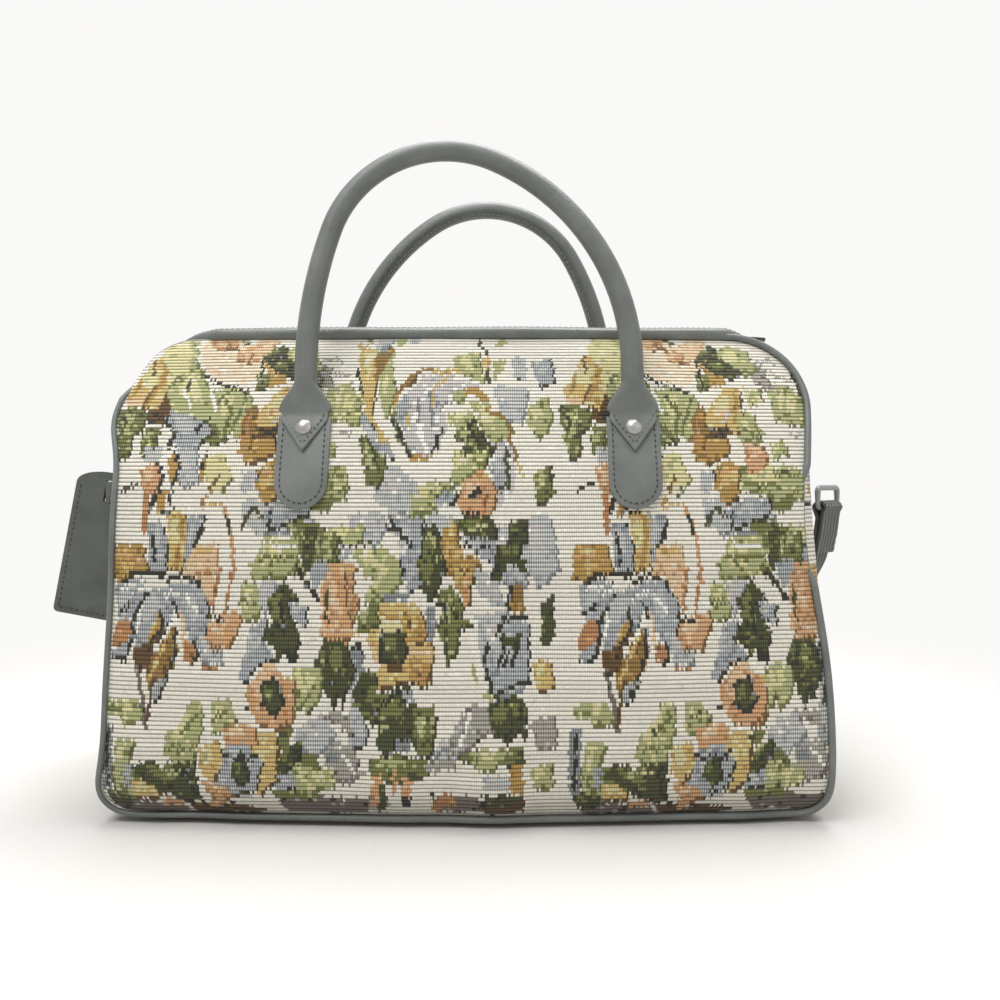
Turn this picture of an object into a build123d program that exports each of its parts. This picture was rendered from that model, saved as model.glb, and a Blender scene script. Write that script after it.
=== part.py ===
"""A soft tapestry carpet bag with vinyl piping, two rolled handles, a zip top and a luggage tag.

Millimetres, +Z up, +X along the zip, -Y towards the front panel.
The origin is the centre of the base, on the surface that the bag stands on.
"""
import math
import os

from build123d import *

# Bag body: outline seen from the front, and the side profile of each broad panel
bag_width = 400.0
seam_top_height = 276.0
seam_base_height = 6.0
shoulder_radius = 45.0
foot_radius = 22.0
belly_half_depth = 98.0
base_depth_share = 0.9184
waist_depth_share = 0.9286
chest_depth_share = 0.7449
top_depth_share = 0.4286
belly_height_share = 0.1812
waist_height_share = 0.5435
chest_height_share = 0.8007
panel_crown_radius = 2000.0
cloth_thickness = 2.4
seam_clearance = 0.2

# Welt piping round both broad panels
piping_width = 5.0
piping_proud = 1.6

# Stiffener board lying in the base
board_thickness = 3.0
board_clearance = 1.5

# Zip top: vinyl bands, tapes, tooth chains and end tabs
band_rise = 8.0
band_edge_height = 4.4
band_flat_width = 8.0
band_lip = 1.4
zip_half_gap = 12.0
tape_thickness = 1.0
tape_half_width = 13.5
chain_width = 2.2
chain_height = 2.2
chain_split = 1.6
end_tab_thickness = 4.0
end_tab_width = 26.0
end_tab_turn = 52.0

# Zip slider and its pull
running_clearance = 0.3
slider_length = 12.0
slider_wall = 1.3
slider_post_length = 3.0
slider_post_width = 1.0
slider_stop_gap = 7.0
lug_offset = 4.0
lug_width = 2.4
lug_wall = 1.1
pull_pin_radius = 0.8
pull_lift = 0.8
pull_length = 38.0
pull_width = 9.0
pull_thickness = 1.8
pull_eye_length = 7.0
pull_hole_radius = 2.0

# Rolled handles
handle_half_span = 93.5
handle_leg_height = 26.0
handle_rise = 128.0
crown_radius_share = 0.7487
handle_lean = 5.0
front_crown_offset = -14.0
back_crown_offset = 8.0
handle_radius = 6.6
sleeve_wall = 1.4
core_clearance = 0.2
flare_height = 24.0
flare_half_width = 15.0
flare_half_thickness = 1.5

# Tabs, tongues and rivets that hold the handles
tab_width = 30.0
tab_length = 52.0
tab_thickness = 2.0
tongue_length = 22.0
tongue_thickness = 1.8
seat_clearance = 0.1
fold_reach = 10.0
tab_head_reach = 7.0
fold_gap = 0.6
fold_bead_share = 0.8
rivet_cap_radius = 4.8
rivet_cap_height = 2.2
rivet_cap_round = 1.4
rivet_shank_radius = 1.6
rivet_hole_clearance = 0.3
rivet_back_radius = 4.0
rivet_back_thickness = 1.0

# Webbing straps and rectangular rings on the gussets
webbing_width = 25.0
webbing_thickness = 1.6
strap_foot_height = 66.0
strap_sewn_length = 18.0
strap_reach = 30.0
strap_rise = 90.0
strap_twist = 45.0
left_strap_shift = 4.0
ring_bar_radius = 1.5
ring_gap_height = 10.0
ring_gap_clearance = 0.5
ring_corner_radius = 2.6
loop_clearance = 0.4

# Luggage tag and the strap that it hangs on
tag_width = 43.0
tag_length = 92.0
tag_top_margin = 12.0
tag_arch_rise = 9.0
tag_corner_radius = 3.0
tag_layer_thickness = 1.5
tag_slot_width = 6.0
tag_slot_height = 14.0
tag_slot_round = 1.5
tag_tilt = 10.5
tag_slot_reach = 27.7
tag_slot_level = 184.7
tag_front_depth = 20.5
tag_strap_width = 9.0
tag_strap_thickness = 1.2
tag_strap_clearance = 0.5

# How far each cutting or trimming shape runs past what it cuts
overrun = 12.0

# Places worked out from the sizes above
half_width = bag_width / 2
base_half_depth = base_depth_share * belly_half_depth
waist_half_depth = waist_depth_share * belly_half_depth
chest_half_depth = chest_depth_share * belly_half_depth
top_half_depth = top_depth_share * belly_half_depth
belly_height = belly_height_share * seam_top_height
waist_height = waist_height_share * seam_top_height
chest_height = chest_height_share * seam_top_height
handle_crown_radius = crown_radius_share * handle_half_span
flat_half_length = half_width - shoulder_radius
crown_axis_depth = panel_crown_radius - belly_half_depth
wall_inset = cloth_thickness + seam_clearance
band_crest_height = seam_top_height + band_rise
tape_top = band_crest_height - band_edge_height
tape_bottom = tape_top - tape_thickness
chain_top = tape_top + chain_height
board_top = cloth_thickness + board_thickness


def profile_edges(inset):
    """Side profile of the front panel, base to top, moved inward by inset along the depth."""
    base = Vector(inset - base_half_depth, 0)
    belly = Vector(inset - belly_half_depth, belly_height)
    waist = Vector(inset - waist_half_depth, waist_height)
    chest = Vector(inset - chest_half_depth, chest_height)
    top = Vector(inset - top_half_depth, seam_top_height)
    up = Vector(0, 1)
    hem = TangentArc(belly, base, tangent=-up)
    lower = TangentArc(belly, waist, tangent=up)
    middle = TangentArc(waist, chest, tangent=lower % 1)
    upper = TangentArc(chest, top, tangent=middle % 1)
    foot = Line(hem @ 1, (hem @ 1) + (hem % 1) * overrun)
    head = Line(upper @ 1, (upper @ 1) + (upper % 1) * overrun)
    return foot, hem, lower, middle, upper, head


def chest_tangent():
    """Direction of the side profile at the chest, as (depth, height)."""
    middle = profile_edges(0)[3]
    return middle % 1


def revolved(face):
    """Turn a face drawn on the YZ plane about the far vertical axis that crowns the panel."""
    axis = Axis((0, crown_axis_depth, 0), (0, 0, 1))
    reach = half_width + piping_width + overrun
    half_turn = math.degrees(math.asin(reach / panel_crown_radius))
    start = (Plane.YZ * face).rotate(axis, -half_turn)
    return revolve(start, axis, 2 * half_turn)


def layer(outer, inner):
    """The crowned layer between two insets of the front panel's face."""
    out = profile_edges(outer)
    back = profile_edges(inner)
    ends = [Line(out[0] @ 1, back[0] @ 1), Line(out[-1] @ 1, back[-1] @ 1)]
    return revolved(make_face([*out, *back, *ends]))


def behind(inset):
    """All that lies between an inset of the front panel's face and the middle of the bag."""
    out = profile_edges(inset)
    middle = crown_axis_depth - math.sqrt((panel_crown_radius - belly_half_depth) ** 2 - half_width ** 2)
    far = Vector(middle + overrun, 0)
    low = Vector(far.X, (out[0] @ 1).Y)
    high = Vector(far.X, (out[-1] @ 1).Y)
    ends = [Line(out[0] @ 1, low), Line(low, high), Line(high, out[-1] @ 1)]
    solid = revolved(make_face([*out, *ends]))
    return solid & front_half()


def front_half():
    size = 2 * (bag_width + overrun)
    return Pos(0, -size / 2, 0) * Box(size, size, size)


def outline(inset):
    """Front outline of the bag, moved inward by inset, drawn on the XZ plane."""
    height = seam_top_height - seam_base_height
    centre = (seam_top_height + seam_base_height) / 2
    sheet = Rectangle(bag_width - 2 * inset, height - 2 * inset)
    corners = sheet.vertices().sort_by(Axis.Y)
    sheet = fillet(corners[:2], foot_radius - inset)
    corners = sheet.vertices().sort_by(Axis.Y)
    sheet = fillet(corners[-2:], shoulder_radius - inset)
    return Pos(0, centre) * sheet


def slab(sheet):
    """Push a sheet drawn on the XZ plane from the middle of the bag out past its front."""
    return extrude(Plane.XZ * sheet, belly_half_depth + overrun)


def mirrored(shape):
    return mirror(shape, about=Plane.XZ)


def crown_shift(across):
    """How far the panel's face has dropped back at a distance from its middle."""
    radius = crown_axis_depth + chest_half_depth
    return radius - math.sqrt(radius ** 2 - across ** 2)


def chest_plane(across):
    """A plane on the face of the front panel at chest height, facing outward."""
    lean = chest_tangent()
    radius = crown_axis_depth + chest_half_depth
    turn = math.asin(across / radius)
    origin = (across, crown_shift(across) - chest_half_depth, chest_height)
    normal = (lean.Y * math.sin(turn), -lean.Y * math.cos(turn), lean.X)
    return Plane(origin=origin, x_dir=(math.cos(turn), math.sin(turn), 0), z_dir=normal)


def rivet_holes():
    length = 4 * (cloth_thickness + tab_thickness + tongue_thickness)
    drill = Cylinder(rivet_shank_radius + rivet_hole_clearance, length)
    return [chest_plane(side * handle_half_span) * drill for side in (-1, 1)]


def broad_panel():
    panel = layer(0, cloth_thickness) & slab(outline(0))
    return panel - rivet_holes()


def piping():
    """Welt round the sides and base of a broad panel, open along the zip."""
    ring = slab(outline(-piping_width)) - slab(outline(-seam_clearance))
    open_height = 2 * shoulder_radius
    opening = Pos(0, seam_top_height) * Rectangle(2 * flat_half_length, open_height)
    return (ring & layer(-piping_proud, cloth_thickness)) - slab(opening)


def gusset(side):
    """One side wall, from the end of the zip over the shoulder and down to the base."""
    shell = slab(outline(0)) - slab(outline(cloth_thickness))
    front = shell & behind(wall_inset)
    foot_start = half_width - foot_radius
    middle = (seam_top_height + seam_base_height) / 2
    far = half_width + overrun
    low = seam_base_height - overrun
    high = seam_top_height + overrun
    region = Polyline(
        (flat_half_length, high), (far, high), (far, low), (foot_start, low),
        (foot_start, middle), (flat_half_length, middle), close=True,
    )
    half = front & slab(make_face(region))
    wall = half + mirrored(half)
    return wall if side > 0 else mirror(wall, about=Plane.YZ)


def base_panel():
    """Tapestry tray between the two broad panels, flat where the bag stands."""
    length = 2 * (half_width - foot_radius)
    height = seam_base_height + cloth_thickness
    tray = behind(wall_inset) & box_between(length, 0, height)
    room = box_between(length + overrun, cloth_thickness, height + overrun)
    half = tray - (behind(wall_inset + cloth_thickness) & room)
    return half + mirrored(half)


def base_board():
    length = 2 * (half_width - foot_radius - board_clearance)
    inset = wall_inset + cloth_thickness + board_clearance
    half = behind(inset) & box_between(length, cloth_thickness, board_top)
    return half + mirrored(half)


def box_between(length, low, high):
    depth = 2 * (belly_half_depth + overrun)
    return Pos(0, 0, (low + high) / 2) * Box(length, depth, high - low)


def zip_band():
    """Vinyl band that slopes from the top seam up to a straight edge beside the zip."""
    flat_start = zip_half_gap + band_flat_width
    seam_back = top_half_depth - band_lip
    profile = Polyline(
        (-top_half_depth - band_lip, seam_top_height), (-flat_start, band_crest_height),
        (0, band_crest_height), (0, tape_top),
        (-flat_start, tape_top), (-seam_back, seam_top_height), close=True,
    )
    roof = band_crest_height + overrun
    band = revolved(make_face(profile)) & box_between(2 * flat_half_length, 0, roof)
    gap = Pos(0, band_flat_width / 2, seam_top_height)
    gap = gap * Box(bag_width, 2 * zip_half_gap + band_flat_width, 2 * (roof - seam_top_height))
    return band - gap


def zip_tape():
    width = tape_half_width - chain_split / 2
    depth = (tape_half_width + chain_split / 2) / 2
    tape = Box(2 * flat_half_length, width, tape_thickness)
    return Pos(0, -depth, (tape_top + tape_bottom) / 2) * tape


def zip_chain():
    depth = (chain_split + chain_width) / 2
    chain = Box(2 * flat_half_length, chain_width, chain_height)
    return Pos(0, -depth, (tape_top + chain_top) / 2) * chain


def end_tab(side):
    """Vinyl tab that wraps from the end of the zip over the shoulder."""
    centre_height = seam_top_height - shoulder_radius
    inner = shoulder_radius + seat_clearance
    ring = Circle(inner + end_tab_thickness) - Circle(inner)
    reach = inner + end_tab_thickness + overrun
    turn = math.radians(end_tab_turn)
    wedge = Polyline(
        (0, 0), (0, reach), (reach, reach),
        (reach * math.sin(turn), reach * math.cos(turn)), close=True,
    )
    sector = Pos(flat_half_length, centre_height) * (ring & make_face(wedge))
    half = extrude(Plane.XZ * sector, end_tab_width / 2)
    tab = half + mirrored(half)
    return tab if side > 0 else mirror(tab, about=Plane.YZ)


slider_place = flat_half_length - slider_stop_gap
slider_width = chain_split + 2 * (chain_width + running_clearance + slider_wall)
slider_floor = tape_bottom - running_clearance - slider_wall
slider_roof = chain_top + running_clearance
lug_base = slider_roof + slider_wall
pull_axis_place = slider_place + lug_offset
pull_axis_height = lug_base + running_clearance + pull_thickness / 2 + pull_lift


def zip_slider():
    """Slider body: roof with side lips, floor under the tapes, post between the chains and lug."""
    roof = Pos(0, 0, slider_roof + slider_wall / 2) * Box(slider_length, slider_width, slider_wall)
    lip_height = slider_roof - tape_top - running_clearance
    lip = Pos(0, (slider_width - slider_wall) / 2, slider_roof - lip_height / 2)
    lip = lip * Box(slider_length, slider_wall, lip_height)
    floor = Pos(0, 0, slider_floor + slider_wall / 2) * Box(slider_length, slider_width, slider_wall)
    post_height = slider_roof - slider_floor
    post = Pos((slider_length - slider_post_length) / 2, 0, slider_floor + post_height / 2)
    post = post * Box(slider_post_length, slider_post_width, post_height)
    eye = pull_pin_radius + running_clearance
    lug_place = Pos(lug_offset, 0, pull_axis_height) * Rot(90, 0, 0)
    lug = lug_place * Cylinder(eye + lug_wall, lug_width)
    stem_height = pull_axis_height - lug_base
    stem = Pos(lug_offset, 0, lug_base + stem_height / 2) * Box(2 * eye, lug_width, stem_height)
    bore = lug_place * Cylinder(eye, slider_width)
    body = roof + lip + mirrored(lip) + floor + post + lug + stem
    return Pos(slider_place, 0, 0) * (body - bore)


def pull_droop():
    """Angle at which the pull comes to lie on the tooth chains, in degrees below level."""
    room = pull_axis_height - pull_thickness / 2 - running_clearance - chain_top
    return math.degrees(math.asin(room / pull_length))


def zip_pull():
    """Pull tab with a fork at the lug end, carrying the pin, and a hole near its tip."""
    fork_gap = lug_width + 2 * running_clearance
    plate = Rectangle(pull_length, pull_width)
    plate = fillet(plate.vertices().sort_by(Axis.X)[-2:], pull_width / 3)
    plate = Pos(pull_length / 2, 0) * plate
    eye_room = Rectangle(2 * pull_eye_length, fork_gap)
    hole = Pos(pull_length - pull_width / 2, 0) * Circle(pull_hole_radius)
    tab = extrude(plate - eye_room - hole, pull_thickness / 2, both=True)
    pin = Rot(90, 0, 0) * Cylinder(pull_pin_radius, pull_width)
    clear = Pos(pull_eye_length / 2, 0, 0) * Box(pull_eye_length, fork_gap, pull_thickness)
    tab = (tab - clear) + pin
    place = Pos(pull_axis_place, 0, pull_axis_height)
    return place * Rot(0, pull_droop(), 0) * tab


def fold_line():
    """Depth and height of the fold that a front handle turns about."""
    lean = chest_tangent()
    lift = seat_clearance + tab_thickness + flare_half_thickness
    shift = crown_shift(handle_half_span)
    depth = -chest_half_depth + shift + lean.X * fold_reach - lean.Y * lift
    height = chest_height + lean.Y * fold_reach + lean.X * lift
    return depth, height


def handle_plane():
    """Plane of a front handle: across the bag, and up from the fold with an inward lean."""
    depth, height = fold_line()
    lean = math.radians(handle_lean)
    normal = (0, -math.cos(lean), math.sin(lean))
    return Plane(origin=(0, depth, height), x_dir=(1, 0, 0), z_dir=normal)


def handle_path(crown_offset):
    """Centre line of the rolled part: two legs joined by a three-centred arch."""
    crown_height = handle_leg_height + handle_rise - handle_crown_radius

    def side_arc(reach):
        rise = handle_rise - handle_crown_radius
        square = rise ** 2 + reach ** 2 - handle_crown_radius ** 2
        radius = square / (2 * (reach - handle_crown_radius))
        turn = math.degrees(math.acos((radius - reach) / (radius - handle_crown_radius)))
        return radius, turn

    right_radius, right_turn = side_arc(handle_half_span - crown_offset)
    left_radius, left_turn = side_arc(handle_half_span + crown_offset)
    right_centre = (handle_half_span - right_radius, handle_leg_height)
    left_centre = (left_radius - handle_half_span, handle_leg_height)
    crown_turn = 180 - right_turn - left_turn
    edges = [
        Line((handle_half_span, flare_height), (handle_half_span, handle_leg_height)),
        CenterArc(right_centre, right_radius, 0, right_turn),
        CenterArc((crown_offset, crown_height), handle_crown_radius, right_turn, crown_turn),
        CenterArc(left_centre, left_radius, 180 - left_turn, left_turn),
        Line((-handle_half_span, handle_leg_height), (-handle_half_span, flare_height)),
    ]
    return Wire(edges)


def swept(crown_offset, section):
    path = handle_path(crown_offset)
    start = Plane(origin=path @ 0, z_dir=path % 0)
    return sweep(start * section, path=path)


def flare():
    """Flattened end of the rolled handle, from the fold up to the round part."""
    height_shares = (0, 0.34, 0.7, 1)
    width_shares = (1, 0.86, 0.3, 0)
    sections = []
    for height_share, width_share in zip(height_shares, width_shares):
        across = handle_radius + width_share * (flare_half_width - handle_radius)
        thick = flare_half_thickness + height_share * (handle_radius - flare_half_thickness)
        level = Plane(origin=(0, height_share * flare_height, 0), x_dir=(1, 0, 0), z_dir=(0, 1, 0))
        sections.append(level * Ellipse(across, thick))
    bead = Cylinder(flare_half_thickness, 2 * fold_bead_share * flare_half_width)
    return loft(sections) + Rot(0, 90, 0) * bead


def handle_sleeve(crown_offset):
    inner = handle_radius - sleeve_wall
    tube = swept(crown_offset, Circle(handle_radius) - Circle(inner))
    ends = [Pos(side * handle_half_span, 0, 0) * flare() for side in (-1, 1)]
    return handle_plane() * (tube + ends)


def handle_core(crown_offset):
    core = swept(crown_offset, Circle(handle_radius - sleeve_wall - core_clearance))
    return handle_plane() * core


def tab(across):
    """U-shaped vinyl patch that the handle's end is sewn and riveted through."""
    head_height = chest_height + chest_tangent().Y * tab_head_reach
    straight = tab_length - tab_width / 2
    shape = Pos(0, -straight / 2) * Rectangle(tab_width, straight)
    shape += Pos(0, -straight) * Circle(tab_width / 2)
    shape = Pos(across, head_height) * shape
    inner = -seat_clearance
    patch = layer(inner - tab_thickness, inner) & slab(shape)
    return patch - rivet_holes()


def tongue(across):
    """Pointed end of the handle, lying on the tab below the fold."""
    gap = flare_half_thickness + fold_gap
    head_height = fold_line()[1] - gap
    half = flare_half_width - gap
    shape = Polyline((-half, 0), (half, 0), (0, -tongue_length), close=True)
    shape = Pos(across, head_height) * make_face(shape)
    inner = -2 * seat_clearance - tab_thickness
    leaf = layer(inner - tongue_thickness, inner) & slab(shape)
    return leaf - rivet_holes()


def rivet_cap(across):
    """Domed rivet head with its shank through the tongue, tab and panel."""
    seat = 3 * seat_clearance + tab_thickness + tongue_thickness
    head = Pos(0, 0, seat + rivet_cap_height / 2) * Cylinder(rivet_cap_radius, rivet_cap_height)
    head = fillet(head.edges().sort_by(Axis.Z)[-1], rivet_cap_round)
    foot = cloth_thickness + rivet_back_thickness + 2 * seam_clearance
    length = seat + foot
    shank = Pos(0, 0, seat - length / 2) * Cylinder(rivet_shank_radius, length)
    return chest_plane(across) * (head + shank)


def rivet_back(across):
    """Washer that the shank is spread over, on the inside of the panel."""
    disc = Circle(rivet_back_radius) - Circle(rivet_shank_radius)
    washer = extrude(disc, rivet_back_thickness)
    drop = cloth_thickness + seam_clearance + rivet_back_thickness
    return chest_plane(across) * (Pos(0, 0, -drop) * washer)


loop_height = strap_foot_height + strap_sewn_length + strap_rise
loop_radius = ring_bar_radius + loop_clearance + webbing_thickness
loop_length = webbing_width - 2 * ring_gap_clearance
strap_start = half_width + seat_clearance + webbing_thickness / 2


def side_strap(twist):
    """Webbing sewn to the gusset, rising outward and folded round the bar of a ring."""
    doubled = 2 * webbing_thickness
    loop_foot = loop_height - loop_radius + webbing_thickness
    sewn_top = strap_foot_height + strap_sewn_length
    reach_shares = (0, 0, 0.62, 0.94, 0.95, 1)
    rise_shares = (0, 0, 0.3, 0.64, 0.66, 1)
    twist_shares = (0, 0, 0.8, 1, 1, 1)
    thicknesses = 4 * [webbing_thickness] + 2 * [doubled]
    sections = []
    for index, thickness in enumerate(thicknesses):
        height = sewn_top + rise_shares[index] * (loop_foot - sewn_top)
        if index == 0:
            height = strap_foot_height
        place = Pos(strap_start + reach_shares[index] * strap_reach, 0, height)
        place = place * Rot(0, 0, -twist_shares[index] * twist)
        sections.append(place * Rectangle(thickness, loop_length))
    strap = loft(sections, ruled=True)
    place = Pos(strap_start + strap_reach, 0, loop_height) * Rot(0, 0, -twist) * Rot(90, 0, 0)
    loop = Cylinder(loop_radius, loop_length)
    eye = Cylinder(ring_bar_radius + loop_clearance, webbing_width + overrun)
    return (strap + place * loop) - place * eye


def ring(twist):
    """Rectangular ring of round bar, standing in the loop of the webbing."""
    half = webbing_width / 2 + ring_bar_radius
    rise = ring_gap_height + 2 * ring_bar_radius
    corners = ((half, 0), (half, rise), (-half, rise), (-half, 0))
    path = FilletPolyline(*corners, radius=ring_corner_radius, close=True)
    start = Plane(origin=path @ 0, z_dir=path % 0)
    bar = sweep(start * Circle(ring_bar_radius), path=path)
    upright = Plane(origin=(0, 0, 0), x_dir=(0, 1, 0), z_dir=(1, 0, 0)) * bar
    return Pos(strap_start + strap_reach, 0, loop_height) * Rot(0, 0, -twist) * upright


def left_side(shape):
    return Pos(0, left_strap_shift, 0) * mirror(shape, about=Plane.YZ)


def tag_sheet():
    """Outline of the tag with its slot, drawn about the middle of the slot."""
    half = tag_width / 2
    top = tag_top_margin
    low = top - tag_length
    shoulder = top - tag_arch_rise
    sides = Polyline((-half, shoulder), (-half, low), (half, low), (half, shoulder))
    arch = ThreePointArc((half, shoulder), (0, top), (-half, shoulder))
    sheet = make_face([sides, arch])
    sheet = fillet(sheet.vertices().sort_by(Axis.Y)[:2], tag_corner_radius)
    return sheet - RectangleRounded(tag_slot_width, tag_slot_height, tag_slot_round)


def tag_layer(depth):
    """One layer of the tag, tilted about its slot, with its front face at a depth."""
    place = Pos(-half_width - tag_slot_reach, -depth, tag_slot_level) * Rot(0, tag_tilt, 0)
    return place * extrude(Plane.XZ * tag_sheet(), -tag_layer_thickness)


def tag_strap():
    """Vinyl strap sewn to the left gusset, running through the tag's slot and back."""
    thickness = 2 * tag_layer_thickness
    span = thickness + 2 * (tag_strap_clearance + tag_strap_thickness)
    reach = tag_slot_reach + tag_strap_thickness / 2 - seat_clearance
    outer = Pos(-reach / 2, 0) * Rectangle(reach, span)
    outer = fillet(outer.vertices().sort_by(Axis.X)[:2], tag_strap_thickness)
    inner = Pos(-reach / 2 + tag_strap_thickness, 0) * Rectangle(reach, span - 2 * tag_strap_thickness)
    band = extrude(outer - inner, tag_strap_width / 2, both=True)
    middle = thickness / 2 - tag_front_depth
    return Pos(-half_width - seat_clearance, middle, tag_slot_level) * band


def build_nodes():
    front_panel = broad_panel()
    front_piping = piping()
    band = zip_band()
    tape = zip_tape()
    chain = zip_chain()
    spots = (-handle_half_span, handle_half_span)
    caps = [rivet_cap(spot) for spot in spots]
    backs = [rivet_back(spot) for spot in spots]
    nodes = {
        "front_panel": front_panel,
        "back_panel": mirrored(front_panel),
        "left_gusset": gusset(-1),
        "right_gusset": gusset(1),
        "base_panel": base_panel(),
        "base_board": base_board(),
        "front_piping": front_piping,
        "back_piping": mirrored(front_piping),
        "zip_band_front": band,
        "zip_band_back": mirrored(band),
        "zip_tape_front": tape,
        "zip_tape_back": mirrored(tape),
        "zip_chain_front": chain,
        "zip_chain_back": mirrored(chain),
        "zip_end_left": end_tab(-1),
        "zip_end_right": end_tab(1),
        "zip_slider": zip_slider(),
        "zip_pull": zip_pull(),
        "front_handle_sleeve": handle_sleeve(front_crown_offset),
        "front_handle_core": handle_core(front_crown_offset),
        "back_handle_sleeve": mirrored(handle_sleeve(back_crown_offset)),
        "back_handle_core": mirrored(handle_core(back_crown_offset)),
        "rivet_caps": Compound(children=caps + [mirrored(cap) for cap in caps]),
        "rivet_backs": Compound(children=backs + [mirrored(back) for back in backs]),
        "right_strap": side_strap(strap_twist),
        "right_ring": ring(strap_twist),
        "left_strap": left_side(side_strap(0)),
        "left_ring": left_side(ring(0)),
        "tag_cover": tag_layer(tag_front_depth),
        "tag_backing": tag_layer(tag_front_depth - tag_layer_thickness),
        "tag_strap": tag_strap(),
    }
    for name, spot in zip(("left", "right"), spots):
        nodes["front_tab_" + name] = tab(spot)
        nodes["back_tab_" + name] = mirrored(nodes["front_tab_" + name])
        nodes["front_tongue_" + name] = tongue(spot)
        nodes["back_tongue_" + name] = mirrored(nodes["front_tongue_" + name])
    return nodes


if __name__ == "__main__":
    os.makedirs("parts", exist_ok=True)
    depth, height = fold_line()
    print("fold line", round(depth, 3), round(height, 3))
    print("slider", slider_place, "pull axis", pull_axis_place, pull_axis_height, "droop", pull_droop())
    print("ring axis", strap_start + strap_reach, loop_height)
    for node_name, shape in build_nodes().items():
        export_step(shape, "parts/" + node_name + ".step")
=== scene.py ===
import bpy
import math
import numpy as np
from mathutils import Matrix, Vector


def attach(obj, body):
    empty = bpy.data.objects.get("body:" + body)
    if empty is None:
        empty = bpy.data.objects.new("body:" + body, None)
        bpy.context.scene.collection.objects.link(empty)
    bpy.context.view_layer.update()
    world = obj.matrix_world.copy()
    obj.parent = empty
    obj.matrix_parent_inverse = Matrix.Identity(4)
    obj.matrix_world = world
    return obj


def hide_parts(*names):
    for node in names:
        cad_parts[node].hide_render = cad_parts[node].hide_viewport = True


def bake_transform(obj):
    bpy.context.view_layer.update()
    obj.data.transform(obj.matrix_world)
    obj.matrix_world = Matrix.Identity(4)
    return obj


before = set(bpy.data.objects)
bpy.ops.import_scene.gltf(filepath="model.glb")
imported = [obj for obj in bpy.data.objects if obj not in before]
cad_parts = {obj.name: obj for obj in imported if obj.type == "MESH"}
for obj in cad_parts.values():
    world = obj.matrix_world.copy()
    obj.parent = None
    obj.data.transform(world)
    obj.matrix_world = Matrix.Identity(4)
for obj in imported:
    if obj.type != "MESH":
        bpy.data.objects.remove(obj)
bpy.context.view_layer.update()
mm = 0.001
print("frame loaded,", len(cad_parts), "nodes")

scene = bpy.context.scene
scene.view_settings.view_transform = "Standard"


# small helpers used by every piece

def hexColour(text):
    value = [int(text[i:i + 2], 16) / 255 for i in (1, 3, 5)]
    return [c / 12.92 if c <= 0.04045 else ((c + 0.055) / 1.055) ** 2.4 for c in value] + [1]


def addNode(tree, kind, settings=None, links=None):
    node = tree.nodes.new("ShaderNode" + kind)
    for key, value in (settings or {}).items():
        if isinstance(key, int) or key[0].isupper():
            node.inputs[key].default_value = value
        else:
            setattr(node, key, value)
    for key, source in (links or {}).items():
        tree.links.new(source, node.inputs[key])
    return node


def newMaterial(name, shaderSettings):
    material = bpy.data.materials.new(name)
    material.use_nodes = True
    tree = material.node_tree
    shader = tree.nodes["Principled BSDF"]
    for key, value in shaderSettings.items():
        shader.inputs[key].default_value = value
    return material, tree, shader


def deselectAll():
    if bpy.context.object and bpy.context.object.mode != "OBJECT":
        bpy.ops.object.mode_set(mode="OBJECT")
    bpy.ops.object.select_all(action="DESELECT")


def pick(piece):
    deselectAll()
    piece.select_set(True)
    bpy.context.view_layer.objects.active = piece


def gridPiece(name, columns, rows, place, turn=False):
    # a grid primitive whose points are moved to place(u, v), u and v from -1 to 1, in mm
    deselectAll()
    bpy.ops.mesh.primitive_grid_add(x_subdivisions=columns, y_subdivisions=rows, size=2)
    piece = bpy.context.object
    piece.name = name
    mesh = piece.data
    mesh.name = name
    flat = np.empty(len(mesh.vertices) * 3)
    mesh.vertices.foreach_get("co", flat)
    spots = np.column_stack(place(flat[0::3].copy(), flat[1::3].copy()))
    mesh.vertices.foreach_set("co", (spots * mm).ravel())
    if turn:
        mesh.flip_normals()
    mesh.update()
    mesh.shade_smooth()
    return piece


def modify(piece, kind, **settings):
    pick(piece)
    modifier = piece.modifiers.new(kind.title(), kind)
    for key, value in settings.items():
        setattr(modifier, key, value)
    bpy.ops.object.modifier_apply(modifier=modifier.name)


def weld(piece, distance=0.00002):
    pick(piece)
    bpy.ops.object.mode_set(mode="EDIT")
    bpy.ops.mesh.select_all(action="SELECT")
    bpy.ops.mesh.remove_doubles(threshold=distance)
    bpy.ops.mesh.normals_make_consistent(inside=False)
    bpy.ops.object.mode_set(mode="OBJECT")


def curveMesh(name, curve):
    piece = bpy.data.objects.new(name, curve)
    bpy.context.collection.objects.link(piece)
    pick(piece)
    bpy.ops.object.convert(target="MESH")
    return bpy.context.object


def tubePiece(name, spots, radius, cyclic=False, radii=None, sides=8):
    # a curve with a round section, made a mesh
    deselectAll()
    curve = bpy.data.curves.new(name, "CURVE")
    curve.dimensions = "3D"
    curve.bevel_depth = radius * mm
    curve.bevel_resolution = sides // 2 - 1
    curve.use_fill_caps = not cyclic
    spline = curve.splines.new("POLY")
    spline.points.add(len(spots) - 1)
    for i, spot in enumerate(spots):
        spline.points[i].co = (spot[0] * mm, spot[1] * mm, spot[2] * mm, 1)
        spline.points[i].radius = 1 if radii is None else radii[i]
    spline.use_cyclic_u = cyclic
    piece = curveMesh(name, curve)
    piece.data.shade_smooth()
    return piece


def meshPiece(name, spots, faces):
    mesh = bpy.data.meshes.new(name)
    mesh.from_pydata([tuple(p) for p in np.asarray(spots) * mm], [], [tuple(f) for f in faces])
    mesh.update()
    mesh.shade_smooth()
    piece = bpy.data.objects.new(name, mesh)
    bpy.context.collection.objects.link(piece)
    return piece


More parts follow.
